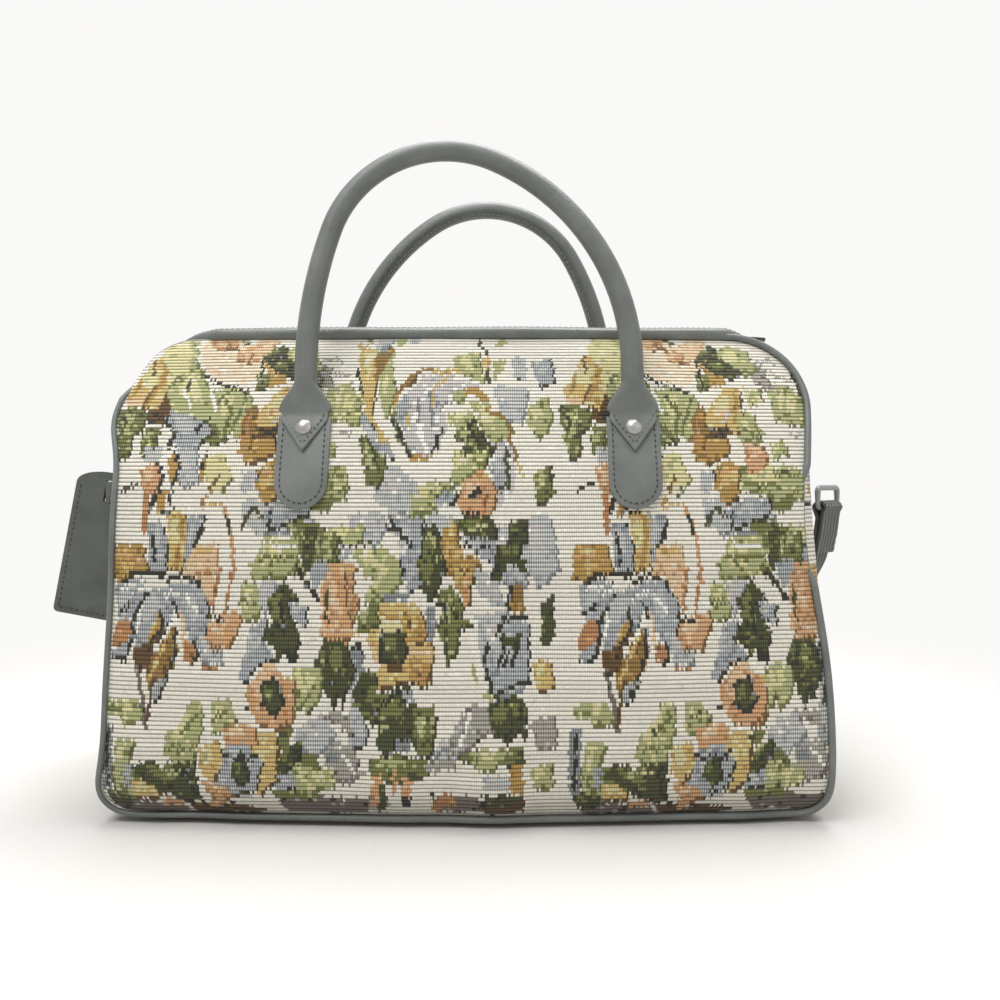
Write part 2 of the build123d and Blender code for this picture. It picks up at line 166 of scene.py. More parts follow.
def dress(piece, material, body="bag", stands=()):
    piece.data.materials.clear()
    piece.data.materials.append(material)
    if body:
        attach(piece, body)
    if stands:
        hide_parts(*stands)
    return piece


def takeShape(piece):
    # points and faces of a shape that is modelled once and repeated
    spots = np.array([v.co[:] for v in piece.data.vertices])
    faces = [tuple(f.vertices) for f in piece.data.polygons]
    bpy.data.objects.remove(piece)
    return spots, faces


def faceFlip(back):
    # what turns a front point, or its normal, into one at the back
    return np.array((1, -1 if back else 1, 1))


def pathRuns(path):
    # distance of each point along a path
    return np.r_[0, np.cumsum(np.linalg.norm(np.diff(path, axis=0), axis=1))]


def softenEdges(piece, width, angle=50):
    modify(piece, "BEVEL", width=width * mm, segments=2, limit_method="ANGLE", angle_limit=math.radians(angle))
    piece.data.shade_smooth()


# one stitch, a low ball that is stretched along the seam
deselectAll()
bpy.ops.mesh.primitive_uv_sphere_add(segments=8, ring_count=4, radius=1)
stitchBall = takeShape(bpy.context.object)


def sewRow(name, path, normals, pitch=3.2, length=2.3, thick=0.42, slant=0.0):
    # stitches laid along a path (mm), each pulled a little into the cloth
    path = np.asarray(path, float)
    normals = np.asarray(normals, float)
    runs = pathRuns(path)
    count = max(1, int(runs[-1] / pitch))
    stops = (np.arange(count) + 0.5) * runs[-1] / count
    spots, faces = [], []

    def at(stop, values):
        return np.array([np.interp(stop, runs, values[:, k]) for k in range(3)])

    for stop in stops:
        middle, up = at(stop, path), at(stop, normals)
        up /= np.linalg.norm(up)
        along = at(stop + 0.4, path) - at(stop - 0.4, path)
        along /= np.linalg.norm(along)
        side = np.cross(up, along)
        along = along * math.cos(slant) + side * math.sin(slant)
        side = np.cross(up, along)
        base = len(spots)
        ball = stitchBall[0] * (length / 2, thick, thick)
        spots.extend(middle + ball[:, :1] * along + ball[:, 1:2] * side + ball[:, 2:] * up)
        faces.extend(tuple(k + base for k in face) for face in stitchBall[1])
    return meshPiece(name, spots, faces)


def joinPieces(name, parts):
    deselectAll()
    for part in parts:
        part.select_set(True)
    bpy.context.view_layer.objects.active = parts[0]
    bpy.ops.object.join()
    piece = bpy.context.object
    piece.name = name
    return piece


# the bag's shape in mm, as in the solids but for a top seam that stands a little higher

bagShape = {
    "halfWidth": 200.0, "seamTop": 278.6, "seamBase": 6.0,
    "shoulderRadius": 45.0, "footRadius": 22.0, "crownRadius": 2000.0,
    "profile": ((90.0, 0.0), (98.0, 50.0), (91.0, 150.0), (73.0, 221.0), (41.0, 278.6)),
    "leftCorner": 3.0, "rightCorner": 2.0, "footCorner": 3.0,
    "rightPull": ((10.7, 165.0, 61.0),), "leftPull": ((1.5, 135.0, 40.0), (-6.5, 228.0, 20.0), (-5.0, 18.0, 20.0)),
    "edgeTuck": (2.4, 6.0), "baseTuck": (4.0, 8.0), "rib": 2.36, "warp": 1.25, "repeat": 258.0,
}
halfWidth = bagShape["halfWidth"]
seamTop = bagShape["seamTop"]
seamBase = bagShape["seamBase"]
shoulderRadius = bagShape["shoulderRadius"]
footRadius = bagShape["footRadius"]
flatHalf = halfWidth - shoulderRadius
crownAxis = bagShape["crownRadius"] - bagShape["profile"][1][0]


def profileArcs():
    base, belly, waist, chest, top = bagShape["profile"]
    arcs = []

    def arc(start, heading, end):
        normal = (-heading[1], heading[0])
        dx, dz = end[0] - start[0], end[1] - start[1]
        reach = (dx * dx + dz * dz) / (2 * (dx * normal[0] + dz * normal[1]))
        centre = (start[0] + normal[0] * reach, start[1] + normal[1] * reach)
        span = math.hypot(dx, dz)
        chord = (dx / span, dz / span)
        dot = heading[0] * chord[0] + heading[1] * chord[1]
        arcs.append((min(start[1], end[1]), max(start[1], end[1]), centre, abs(reach),
                     math.copysign(1, start[0] - centre[0])))
        return 2 * dot * chord[0] - heading[0], 2 * dot * chord[1] - heading[1]

    arc(belly, (0, -1), base)
    heading = arc(belly, (0, 1), waist)
    heading = arc(waist, heading, chest)
    arc(chest, heading, top)
    return arcs


bagArcs = profileArcs()


def halfDepth(z):
    z = np.clip(np.asarray(z, float), 0, seamTop)
    depth = np.zeros_like(z)
    for low, high, centre, radius, sign in bagArcs:
        inside = (z >= low - 1e-9) & (z <= high + 1e-9)
        drop = np.clip(radius ** 2 - (z - centre[1]) ** 2, 0, None)
        depth = np.where(inside, centre[0] + sign * np.sqrt(drop), depth)
    return depth


heightTable = np.linspace(seamBase, seamTop, 1200)
lengthTable = np.r_[0, np.cumsum(np.hypot(np.diff(heightTable), np.diff(halfDepth(heightTable))))]
clothLength = lengthTable[-1]


def seamWidth(side, z):
    # half width of the sewn outline: a flatter left shoulder, and seams that pull in at mid height
    z, side = np.asarray(z, float), np.asarray(side, float)
    up = np.clip(z - (seamTop - shoulderRadius), 0, shoulderRadius) / shoulderRadius
    down = np.clip(seamBase + footRadius - z, 0, footRadius)
    corner = np.where(side > 0, bagShape["rightCorner"], bagShape["leftCorner"])
    width = halfWidth - shoulderRadius + shoulderRadius * (1 - up ** corner) ** (1 / corner)
    foot = bagShape["footCorner"]
    width = width - footRadius + (footRadius ** foot - down ** foot) ** (1 / foot)
    return width - seamPull(side, z)


def seamPull(side, z):
    # how far the slack cloth draws each seam in, as soft bumps of pull, height and spread
    ease = np.clip((seamTop - z) / 30, 0, 1)
    right, left = (sum(pull * np.exp(-((z - height) / spread) ** 2) for pull, height, spread in bagShape[key])
                   for key in ("rightPull", "leftPull"))
    return np.where(side > 0, right, left) * ease * ease * (3 - 2 * ease)


def softShoulder(side, x, z):
    # moves a point of the round outline (x outward) to the softer outline of its side, at shoulder and foot
    x, z, side = np.asarray(x, float), np.asarray(z, float), np.asarray(side, float)
    shoulder = np.where(side > 0, bagShape["rightCorner"], bagShape["leftCorner"])
    wide = np.clip(x - flatHalf, 0, None)
    for radius, level, way, power in ((shoulderRadius, seamTop - shoulderRadius, 1, shoulder),
                                      (footRadius, seamBase + footRadius, -1, bagShape["footCorner"])):
        dx, dz = np.clip(x - halfWidth + radius, 0, None), np.clip((z - level) * way, 0, None)
        far = np.hypot(dx, dz) + 1e-9
        share = np.where((dx > 0) & (dz > 0), ((dx / far) ** power + (dz / far) ** power) ** (-1 / power), 1)
        x, z = x + dx * (share - 1), z + way * dz * (share - 1)
    return x - seamPull(side, z) * np.clip(wide / 20, 0, 1), z


# wave, ripple and gather: how deep and how long; held: how much, where and how far round
slackCloth = {"wave": (0.9, 31.0, 23.0), "ripple": (0.5, 17.0, 29.0), "gather": (1.1, 10.5, 27.0),
              "gatherHeight": 26.0, "gatherSpread": 20.0, "held": 0.85, "heldX": 93.5, "heldZ": 205.0,
              "heldWide": 22.0, "heldHigh": 32.0}


def panelFace(x, z):
    # depth (y) of the front panel's face, crowned, with the slack of soft cloth
    x, z = np.asarray(x, float), np.asarray(z, float)
    radius = crownAxis + halfDepth(z)
    y = crownAxis - np.sqrt(radius ** 2 - x ** 2)
    edge = np.minimum(np.minimum(seamWidth(np.sign(x), z) - np.abs(x), z - seamBase), seamTop - z)
    tucked = sum(depth * np.exp(-np.clip(gap, 0, None) / reach) for gap, (depth, reach) in
                 ((edge, bagShape["edgeTuck"]), (z - seamBase, bagShape["baseTuck"])))
    # long shallow waves, short gathers above the base seam, and both held flat under the tabs
    (wave, waveX, waveZ), (ripple, rippleX, rippleZ) = slackCloth["wave"], slackCloth["ripple"]
    slack = wave * np.sin(x / waveX + 1.3) * np.sin(z / waveZ + 0.4) + ripple * np.sin(x / rippleX + z / rippleZ)
    depth, length, drift = slackCloth["gather"]
    low = np.exp(-((z - slackCloth["gatherHeight"]) / slackCloth["gatherSpread"]) ** 2)
    gather = depth * (low * np.sin(x / length + 0.9 * np.sin(x / drift)))
    away = ((np.abs(x) - slackCloth["heldX"]) / slackCloth["heldWide"]) ** 2
    away = away + ((z - slackCloth["heldZ"]) / slackCloth["heldHigh"]) ** 2
    return y + tucked - (slack + gather) * (1 - slackCloth["held"] * np.exp(-away))


def panelNormal(x, z):
    gap = 0.6
    dx = (panelFace(x + gap, z) - panelFace(x - gap, z)) / (2 * gap)
    dz = (panelFace(x, z + gap) - panelFace(x, z - gap)) / (2 * gap)
    normal = np.stack([dx, -np.ones_like(dx), dz], -1)
    return normal / np.linalg.norm(normal, axis=-1, keepdims=True)


# yarn: its rib, the ground between the ribs (dark warp and painted shade), how strongly the warp shows as a grid, two
# yarns mixed into it
yarns = {
    "cream": ("#F0EBDD", "#4A473A", 0.12, "ecru", "white"), "white": ("#F8F5EC", "#66635A", 0.1, "cream", "cream"),
    "ecru": ("#E4DCC8", "#5C5340", 0.1, "cream", "blush"), "blush": ("#EBDABD", "#6A5034", 0.15, "cream", "peach"),
    "straw": ("#DFD8A2", "#575124", 0.2, "ecru", "sage"), "sage": ("#B7BA85", "#40441E", 0.3, "straw", "olive"),
    "olive": ("#80844E", "#252A12", 0.55, "sage", "green"),
    "green": ("#545736", "#121408", 0.65, "olive", "charcoal"),
    "gold": ("#D9BD7C", "#48360F", 0.3, "straw", "ochre"), "ochre": ("#C19C59", "#332308", 0.4, "gold", "umberGold"),
    "umberGold": ("#9C7C46", "#281B07", 0.45, "ochre", "umber"),
    "umber": ("#6B5232", "#1D130A", 0.5, "brown", "charcoal"),
    "brown": ("#83653F", "#25180D", 0.45, "umberGold", "umber"),
    "rust": ("#C08D60", "#40220F", 0.4, "orange", "brown"),
    "orange": ("#DCAE7F", "#4A2B14", 0.4, "peach", "rust"), "peach": ("#E9CBA4", "#644628", 0.3, "blush", "orange"),
    "blueGrey": ("#C4C9CA", "#2B2D2E", 0.9, "pale", "steel"),
    "pale": ("#D8DAD6", "#4C4E4D", 0.75, "lilac", "blueGrey"),
    "steel": ("#A0A6A8", "#232527", 0.9, "blueGrey", "plum"),
    "lilac": ("#DCD7D2", "#5F5A57", 0.55, "white", "blueGrey"),
    "greige": ("#BDB8AC", "#3E3B33", 0.7, "pale", "plum"),
    "plum": ("#857A72", "#28201E", 0.55, "greige", "charcoal"),
    "charcoal": ("#38362C", "#111110", 0.4, "green", "steel"),
}

# flowers and leaves of one repeat, drawn one by one, later rows over earlier ones:
# yarn, line width (0 for filled shapes), then the x and y of each shape's points, in mm
motifs = (
    # pale and olive grounds under the finer flowers
    ("pale", 0, (-54, 193, -41, 196, -28, 185, -30, 172, -43, 167, -52, 177), (-66, 167, -48, 170, -43, 160, -53, 150,
     -64, 155), (12, 160, 27, 162, 33, 150, 32, 130, 17, 132, 12, 147), (-127, 175, -107, 177, -86, 167, -88, 157,
     -111, 159, -125, 164), (-38, 167, -23, 171, -8, 165, -8, 157, -23, 155, -35, 160), (-64, 89, -58, 95, -54, 70,
     -59, 48, -64, 51)),
    ("lilac", 0, (12, 218, 25, 209, 25, 185, 16, 172, 10, 183, 15, 198)),
    ("sage", 0, (-143, 248, -128, 242, -123, 221, -133, 212, -145, 224), (-54, 264, -48, 268, -43, 244, -47, 223, -52,
     238), (-65, 150, -55, 147, -48, 150, -37, 135, -42, 130, -57, 135), (-196, 65, -183, 67, -178, 57, -190, 52),
     (-102, 230, -94, 230, -89, 214, -97, 207, -104, 214), (-86, 210, -77, 211, -76, 203, -85, 201)),
    ("ochre", 0, (-128, 215, -119, 226, -110, 225, -110, 204, -124, 196, -132, 204), (-117, 197, -108, 199, -106, 188,
     -115, 183, -120, 188)),
    ("olive", 0, (-158, 242, -146, 235, -138, 212, -149, 209, -155, 221), (-100, 167, -89, 159, -83, 149, -80, 135,
     -87, 137, -94, 149)),
    ("straw", 0, (-150, 201, -140, 204, -133, 188, -141, 180, -149, 188), (-98, 247, -87, 244, -87, 236, -96, 234)),
    ("green", 0, (2, 215, 12, 206, 10, 196, -3, 193, -8, 201), (11, 67, 23, 69, 28, 51, 20, 45, 12, 51)),
    ("olive", 0, (-9, 222, 4, 219, 12, 209, 2, 206, -7, 213), (-80, 132, -72, 142, -65, 137, -62, 129, -72, 129)),
    ("greige", 0, (-93, 264, -83, 261, -81, 246, -90, 248), (-77, 48, -62, 38, -59, 25, -72, 22, -78, 32), (-63, 13,
     -40, 10, -47, 4, -63, 5)),
    ("plum", 0, (-105, 11, -85, 15, -66, 10, -73, 4, -99, 4), (-21, 14, 4, 15, 11, 7, -15, 4), (-198, 10, -174, 8,
     -155, 6, -159, 0, -192, 0)),
    ("umber", 0, (4, 10, 30, 14, 30, 5, 11, 3), (-154, 8, -128, 7, -109, 4, -119, 0, -152, 0), (-187, 242, -175, 244,
     -172, 233, -178, 222, -188, 225)),
    ("olive", 0, (-197, 29, -183, 31, -177, 19, -184, 10, -196, 14), (-104, 38, -85, 41, -78, 25, -92, 16, -103, 21)),
    ("pale", 0, (-94, 51, -78, 61, -72, 48, -81, 38, -93, 41), (-21, 39, -8, 48, 4, 51, -2, 39, -15, 32), (4, 113, 20,
     116, 30, 105, 30, 72, 17, 70, 8, 86), (-126, 172, -112, 176, -96, 169, -101, 158, -118, 157, -126, 164)),
    ("olive", 0, (-8, 40, 30, 42, 30, 34, 4, 32), (-54, 34, -40, 39, -21, 35, -21, 27, -40, 22, -53, 25), (-97, 165,
     -81, 162, -73, 148, -75, 134, -87, 141, -95, 155), (-188, 220, -180, 220, -179, 201, -189, 203), (-119, 194, -94,
     196, -70, 192, -72, 187, -95, 188, -116, 187)),
    ("umberGold", 0, (-129, 230, -123, 233, -121, 214, -127, 206, -131, 214)),
    # leaves guessed where the cloth is not seen
    ("sage", 0, (33, 230, 44, 240, 48, 225, 40, 212, 34, 218), (34, 30, 46, 34, 46, 20, 36, 18)),
    ("olive", 0, (36, 190, 46, 198, 47, 180, 39, 172)),
    ("pale", 0, (30, 165, 45, 168, 50, 140, 38, 128, 31, 145)),
    ("green", 0, (40, 120, 48, 126, 47, 100, 40, 95)),
    ("gold", 0, (35, 86, 45, 90, 47, 76, 38, 72)),
    ("greige", 0, (33, 55, 46, 60, 48, 44, 38, 40)),
    ("blueGrey", 0, (36, 262, 48, 268, 49, 250, 40, 246)),
    # gold leaf, rose and iris buds
    ("gold", 0, (-204, 243, -197, 254, -190, 268, -183, 270, -176, 260, -177, 247, -180, 239, -183, 231, -191, 233,
     -201, 238)),
    ("ochre", 3.5, (-182, 265, -183, 250, -190, 236)),
    ("ochre", 2.4, (-197, 251, -199, 242)),
    ("brown", 1.9, (-190, 267, -190, 256), (-193, 234, -190, 240, -187, 247)),
    ("peach", 0, (-204, 239, -195, 239, -192, 235, -200, 232)),
    ("olive", 0, (-207, 232, -197, 234, -188, 229, -189, 220, -194, 217, -195, 207, -197, 201, -202, 201, -204, 214)),
    ("green", 1.9, (-205, 229, -199, 223, -203, 217)),
    ("straw", 0, (-185, 284, -168, 285, -165, 273, -168, 259, -175, 253, -180, 244, -181, 260, -188, 271)),
    ("sage", 3.1, (-172, 284, -167, 275, -167, 265)),
    ("sage", 0, (-180, 244, -171, 254, -165, 266, -158, 255, -151, 246, -146, 232, -142, 220, -150, 223, -166, 225,
     -174, 231)),
    ("olive", 2.4, (-163, 263, -156, 251, -150, 241)),
    ("green", 2, (-167, 251, -166, 244)),
    ("sage", 0, (-150, 244, -139, 245, -130, 241, -133, 229, -136, 220, -141, 212, -145, 219)),
    ("olive", 2.4, (-144, 239, -137, 229, -141, 215)),
    ("white", 1.9, (-159, 261, -152, 245, -147, 229), (-169, 245, -163, 233)),
    ("blush", 0, (-164, 276, -160, 284, -143, 285, -130, 275, -123, 270, -123, 255, -135, 249, -150, 252, -159, 262)),
    ("orange", 0, (-160, 284, -144, 284, -140, 277, -151, 274, -158, 280)),
    ("peach", 0, (-136, 273, -126, 284, -117, 283, -118, 269, -132, 264)),
    ("orange", 0, (-142, 274, -131, 272, -131, 264, -139, 266), (-187, 194, -181, 198, -177, 196, -175, 188, -176,
     180, -183, 179, -186, 187)),
    ("green", 2.4, (-141, 284, -135, 279)),
    ("brown", 1.9, (-147, 279, -141, 274)),
    ("charcoal", 1.9, (-157, 256, -149, 249, -137, 245, -130, 242)),
    ("ecru", 2, (-154, 264, -145, 255, -133, 254)),
    ("green", 0, (-125, 265, -119, 273, -111, 279, -109, 270, -121, 264)),
    ("ochre", 0, (-122, 264, -111, 266, -107, 255, -119, 253)),
    ("olive", 0, (-125, 255, -113, 254, -121, 244, -125, 243)),
    ("charcoal", 1.9, (-123, 263, -122, 247)),
    ("blueGrey", 0, (-175, 231, -162, 227, -151, 225, -149, 216, -156, 208, -163, 199, -167, 207, -174, 220)),
    ("pale", 0, (-167, 206, -156, 208, -153, 188, -161, 184, -166, 188), (-187, 207, -176, 207, -176, 198, -185,
     198)),
    ("charcoal", 1.9, (-184, 229, -177, 225, -169, 214, -173, 207), (-158, 218, -154, 222, -150, 225), (-177, 197,
     -173, 188, -175, 178, -179, 168)),
    ("ochre", 0, (-171, 204, -167, 205, -165, 194, -168, 184, -171, 194), (-200, 150, -181, 152, -180, 139, -188, 136,
     -201, 133)),
    ("charcoal", 1.9, (-169, 206, -164, 195, -167, 184, -167, 175)),
    ("ochre", 2.7, (-150, 200, -151, 188)),
    ("charcoal", 1.9, (-150, 203, -152, 194)),
    ("rust", 3.5, (-180, 179, -181, 170, -181, 159)),
    ("ochre", 4.2, (-171, 180, -173, 168)),
    ("charcoal", 1.9, (-179, 172, -176, 176), (-171, 169, -163, 169), (-197, 181, -187, 186)),
    ("brown", 2, (-142, 189, -146, 180)),
    ("ochre", 2, (-145, 181, -150, 172)),
    ("gold", 1.9, (-140, 174, -148, 172)),
    ("gold", 0, (-168, 168, -158, 169, -156, 156, -158, 139, -167, 137, -167, 152)),
    ("ochre", 2.7, (-160, 167, -159, 154, -162, 139)),
    ("blueGrey", 0, (-179, 162, -171, 164, -167, 151, -168, 137, -177, 137), (-157, 168, -147, 167, -151, 156, -154,
     139, -157, 139)),
    ("charcoal", 1.9, (-176, 157, -174, 141)),
    ("charcoal", 2.2, (-148, 158, -153, 149)),
    ("peach", 0, (-153, 150, -140, 152, -138, 137, -158, 135)),
    ("gold", 2.7, (-151, 147, -142, 148)),
    ("orange", 2, (-138, 174, -134, 165, -131, 152, -129, 132)),
    ("charcoal", 1.9, (-135, 166, -132, 156)),
    ("orange", 2.4, (-199, 145, -181, 143)),
    # iris fan, pansies and the leaves round them
    ("ochre", 0, (-197, 143, -179, 143, -179, 137, -190, 134, -197, 130)),
    ("blueGrey", 0, (-197, 128, -181, 134, -177, 124, -182, 114, -186, 101, -190, 89, -199, 89, -195, 98, -187, 111,
     -194, 111, -196, 119), (-178, 125, -162, 130, -159, 120, -163, 111, -170, 102, -176, 95, -184, 95, -185, 104,
     -181, 119), (-162, 131, -150, 132, -143, 121, -142, 111, -145, 103, -146, 91, -154, 103, -159, 112)),
    ("pale", 0, (-147, 103, -135, 95, -134, 87, -146, 87)),
    ("white", 1.9, (-186, 125, -178, 127), (-181, 120, -184, 102), (-168, 123, -159, 125), (-155, 124, -149, 115),
     (-168, 98, -161, 114), (-193, 127, -181, 131)),
    ("charcoal", 2.3, (-193, 130, -187, 135, -172, 136, -166, 131, -158, 135, -150, 132, -147, 128)),
    ("charcoal", 1.9, (-177, 124, -182, 118, -187, 108, -186, 99, -188, 92, -192, 87), (-195, 113, -188, 118), (-162,
     120, -159, 111), (-143, 113, -141, 109)),
    ("rust", 0, (-195, 109, -189, 110, -188, 102, -193, 97, -198, 94, -197, 103), (-156, 100, -150, 97, -148, 90,
     -151, 86, -156, 90)),
    ("ochre", 0, (-171, 114, -169, 106, -173, 98, -180, 93, -177, 98, -174, 106), (-119, 75, -111, 77, -112, 68, -118,
     63, -121, 68)),
    ("umber", 0, (-186, 94, -175, 97, -174, 89, -180, 82, -183, 81)),
    ("charcoal", 1.9, (-170, 115, -169, 106, -175, 97)),
    ("umberGold", 0, (-163, 107, -160, 97, -162, 86, -167, 78, -173, 76, -175, 70, -178, 76, -176, 85, -168, 93)),
    ("charcoal", 1.9, (-161, 105, -161, 90, -166, 77), (-150, 98, -148, 90, -151, 86)),
    ("gold", 1.9, (-165, 102, -170, 90, -175, 78)),
    ("plum", 2.5, (-183, 85, -180, 69, -177, 50)),
    ("umber", 2.1, (-173, 77, -176, 61, -177, 53)),
    ("blueGrey", 0, (-172, 77, -165, 78, -171, 68, -175, 64), (-119, 107, -110, 111, -112, 99, -104, 90, -116, 86,
     -121, 77, -125, 78, -120, 96), (-98, 120, -88, 119, -89, 107, -96, 111), (-88, 141, -80, 141, -81, 128, -85,
     129)),
    ("peach", 1.9, (-158, 114, -156, 98)),
    ("orange", 0, (-142, 110, -126, 115, -125, 109, -130, 95, -141, 95, -144, 103), (-103, 78, -94, 79, -93, 65, -97,
     53, -105, 52, -106, 60, -101, 68), (-146, 39, -136, 41, -136, 35, -141, 27, -147, 28), (-146, 21, -136, 21, -135,
     12, -142, 12)),
    ("charcoal", 1.9, (-141, 112, -135, 110)),
    ("rust", 2.1, (-145, 84, -137, 84)),
    ("peach", 0, (-150, 135, -140, 135, -139, 118, -143, 121, -147, 129)),
    ("rust", 1.9, (-137, 139, -138, 127, -140, 116), (-130, 139, -131, 126, -133, 114)),
    ("sage", 0, (-125, 131, -114, 129, -114, 113, -124, 109), (-123, 142, -89, 142, -90, 134, -118, 134)),
    ("olive", 2.1, (-124, 120, -116, 120)),
    ("green", 2.3, (-117, 137, -91, 137)),
    ("pale", 0, (-113, 134, -104, 131, -109, 120, -112, 112, -115, 126)),
    ("green", 0, (-102, 133, -93, 123, -99, 120, -97, 112, -91, 102, -95, 92, -103, 96, -112, 99, -107, 112, -110,
     121, -105, 126), (-75, 100, -66, 98, -68, 78, -74, 62, -77, 72, -83, 87, -80, 96)),
    ("charcoal", 1.9, (-102, 120, -101, 103)),
    ("charcoal", 0, (-100, 94, -92, 92, -92, 87, -98, 88)),
    ("green", 3.2, (-102, 102, -103, 90)),
    ("charcoal", 2.8, (-94, 139, -88, 130, -81, 122)),
    ("peach", 0, (-81, 139, -67, 140, -66, 100, -81, 103, -79, 115, -80, 124), (-112, 86, -104, 88, -103, 80, -110,
     78), (-117, 61, -109, 61, -110, 54, -116, 55)),
    ("orange", 2.8, (-79, 112, -68, 103)),
    ("olive", 2.3, (-80, 93, -74, 83)),
    ("gold", 2.7, (-101, 77, -95, 78)),
    ("charcoal", 1.9, (-121, 63, -116, 60)),
    ("sage", 0, (-95, 85, -85, 86, -86, 73, -94, 61, -93, 72), (-165, 47, -156, 54, -154, 65, -146, 66, -146, 49,
     -149, 41, -150, 33, -162, 32, -167, 36), (-140, 66, -131, 67, -126, 56, -129, 51, -140, 49), (-201, 65, -190, 65,
     -191, 57, -200, 57), (-194, 44, -183, 44, -186, 35, -189, 25, -196, 24)),
    ("gold", 0, (-114, 49, -104, 50, -102, 34, -110, 22, -116, 27, -108, 35, -115, 42)),
    ("blueGrey", 0, (-141, 27, -131, 33, -126, 21, -129, 12, -136, 13), (-107, 25, -93, 28, -94, 18, -106, 18), (-189,
     30, -184, 31, -186, 17, -190, 18)),
    ("pale", 0, (-128, 17, -119, 20, -118, 12, -127, 11)),
    ("green", 0, (-99, 41, -90, 45, -92, 35, -100, 27, -104, 31), (-182, 31, -171, 33, -168, 29, -156, 32, -150, 34,
     -150, 24, -149, 11, -157, 9, -169, 15, -176, 20, -183, 26), (-202, 15, -195, 15, -186, 9, -191, 4, -199, 8)),
    ("olive", 0, (-103, 50, -95, 51, -97, 42, -102, 41), (-107, 17, -80, 15, -83, 11, -106, 12)),
    ("olive", 2.3, (-158, 49, -148, 58), (-163, 39, -150, 42)),
    ("olive", 1.9, (-138, 58, -131, 60), (-200, 61, -192, 59)),
    ("steel", 0, (-203, 52, -196, 51, -197, 15, -203, 16)),
    ("charcoal", 1.9, (-199, 49, -200, 17), (-154, 27, -151, 13, -144, 5)),
    ("sage", 1.9, (-167, 27, -158, 26)),
    ("gold", 0, (-185, 22, -177, 21, -170, 15, -173, 11, -185, 12)),
    ("sage", 2.3, (-196, 24, -192, 15)),
    ("orange", 0, (-170, 10, -159, 10, -158, 5, -169, 6), (-143, 10, -132, 11, -133, 6, -142, 4)),
    ("sage", 0, (-94, 32, -83, 31, -84, 18, -94, 15)),
    ("charcoal", 1.9, (-142, 1, -129, 8)),
    ("plum", 0, (-195, 3, -169, 4, -170, -2, -196, -3)),
    # scroll, small leaves and the lone orange flower
    ("gold", 0, (-67, 281, -60, 274, -48, 276, -51, 263, -55, 253, -55, 236, -57, 227, -61, 237, -64, 254)),
    ("umberGold", 0, (-56, 270, -46, 277, -49, 263, -55, 252, -55, 242)),
    ("gold", 3.9, (-59, 230, -54, 219, -46, 209)),
    ("charcoal", 1.9, (-66, 258, -61, 236)),
    ("sage", 0, (-53, 253, -44, 274, -45, 262, -50, 250), (-45, 286, -37, 286, -40, 276, -45, 278), (-64, 286, -58,
     286, -60, 275), (-83, 247, -69, 248, -65, 237, -62, 227, -63, 223, -81, 224), (-12, 227, 1, 230, 4, 221, -5, 219,
     -12, 222)),
    ("pale", 0, (-56, 284, -46, 286, -47, 279, -56, 270), (-37, 286, -29, 285, -31, 279, -37, 278), (25, 268, 34, 267,
     33, 250, 26, 252)),
    ("olive", 2.2, (-72, 242, -66, 232)),
    ("blueGrey", 0, (-63, 230, -56, 223, -54, 212, -44, 206, -42, 200, -54, 203, -60, 217)),
    ("olive", 0, (-62, 212, -57, 214, -55, 205, -47, 201, -47, 193, -51, 184, -57, 185, -60, 199)),
    ("green", 1.9, (-54, 203, -50, 193), (28, 250, 34, 251)),
    ("lilac", 0, (-39, 237, -27, 254, -10, 253, 6, 247, -9, 243, -17, 234, -13, 221, -18, 208, -22, 202, -32, 202,
     -38, 219)),
    ("white", 2.8, (-31, 227, -26, 213, -24, 204)),
    ("white", 2.4, (-25, 243, -17, 248)),
    ("steel", 1.9, (-23, 243, -20, 219), (-30, 237, -28, 221)),
    ("umberGold", 2.8, (-23, 259, -32, 255, -39, 246, -42, 239)),
    ("ochre", 2, (-42, 240, -43, 226)),
    ("umber", 1.9, (-31, 253, -36, 245)),
    ("gold", 4.1, (-20, 256, -4, 257, 9, 251)),
    ("ochre", 5.2, (-5, 241, 3, 244, 9, 237, 10, 230)),
    ("gold", 1.9, (-21, 233, -21, 245, -14, 251)),
    ("olive", 3.2, (-43, 226, -39, 213, -33, 202)),
    ("charcoal", 1.9, (-43, 223, -37, 211, -34, 202), (-15, 219, -18, 208, -21, 203)),
    ("ochre", 0, (-33, 202, -21, 202, -22, 199, -32, 199)),
    ("blueGrey", 0, (-42, 234, -36, 241, -34, 227, -38, 219, -42, 225), (13, 198, 20, 202, 23, 188, 16, 181, 14,
     189)),
    ("gold", 1.9, (-35, 227, -34, 219)),
    ("sage", 0, (-1, 235, 10, 236, 15, 227, 23, 225, 24, 217, 16, 210, 7, 214, 5, 227), (-9, 242, -2, 243, -3, 234,
     -10, 235)),
    ("steel", 1.9, (-19, 232, -9, 236)),
    ("green", 0, (-1, 212, 6, 219, 11, 210, 16, 208, 4, 199, -3, 202)),
    ("sage", 0, (-9, 206, 0, 202, 11, 206, 9, 197, -3, 188, -14, 183, -8, 192), (-10, 268, 5, 272, 7, 254, 8, 249, 0,
     252, -8, 259), (14, 265, 22, 265, 20, 259, 14, 248), (16, 283, 22, 282, 21, 276, 16, 276), (-25, 185, -16, 187,
     -8, 183, -17, 180, -18, 170, -31, 166, -32, 177), (-81, 192, -72, 190, -67, 177, -80, 175), (-79, 160, -57, 162,
     -60, 152, -79, 151)),
    ("umberGold", 2, (10, 230, 22, 224, 25, 206, 29, 193)),
    ("charcoal", 1.9, (0, 219, 6, 210), (-1, 218, 4, 224)),
    ("green", 2.2, (5, 281, 10, 270)),
    ("green", 2.8, (10, 260, 11, 249)),
    ("gold", 0, (7, 267, 13, 267, 12, 257, 8, 258)),
    ("steel", 0, (16, 242, 33, 240, 34, 235, 16, 236)),
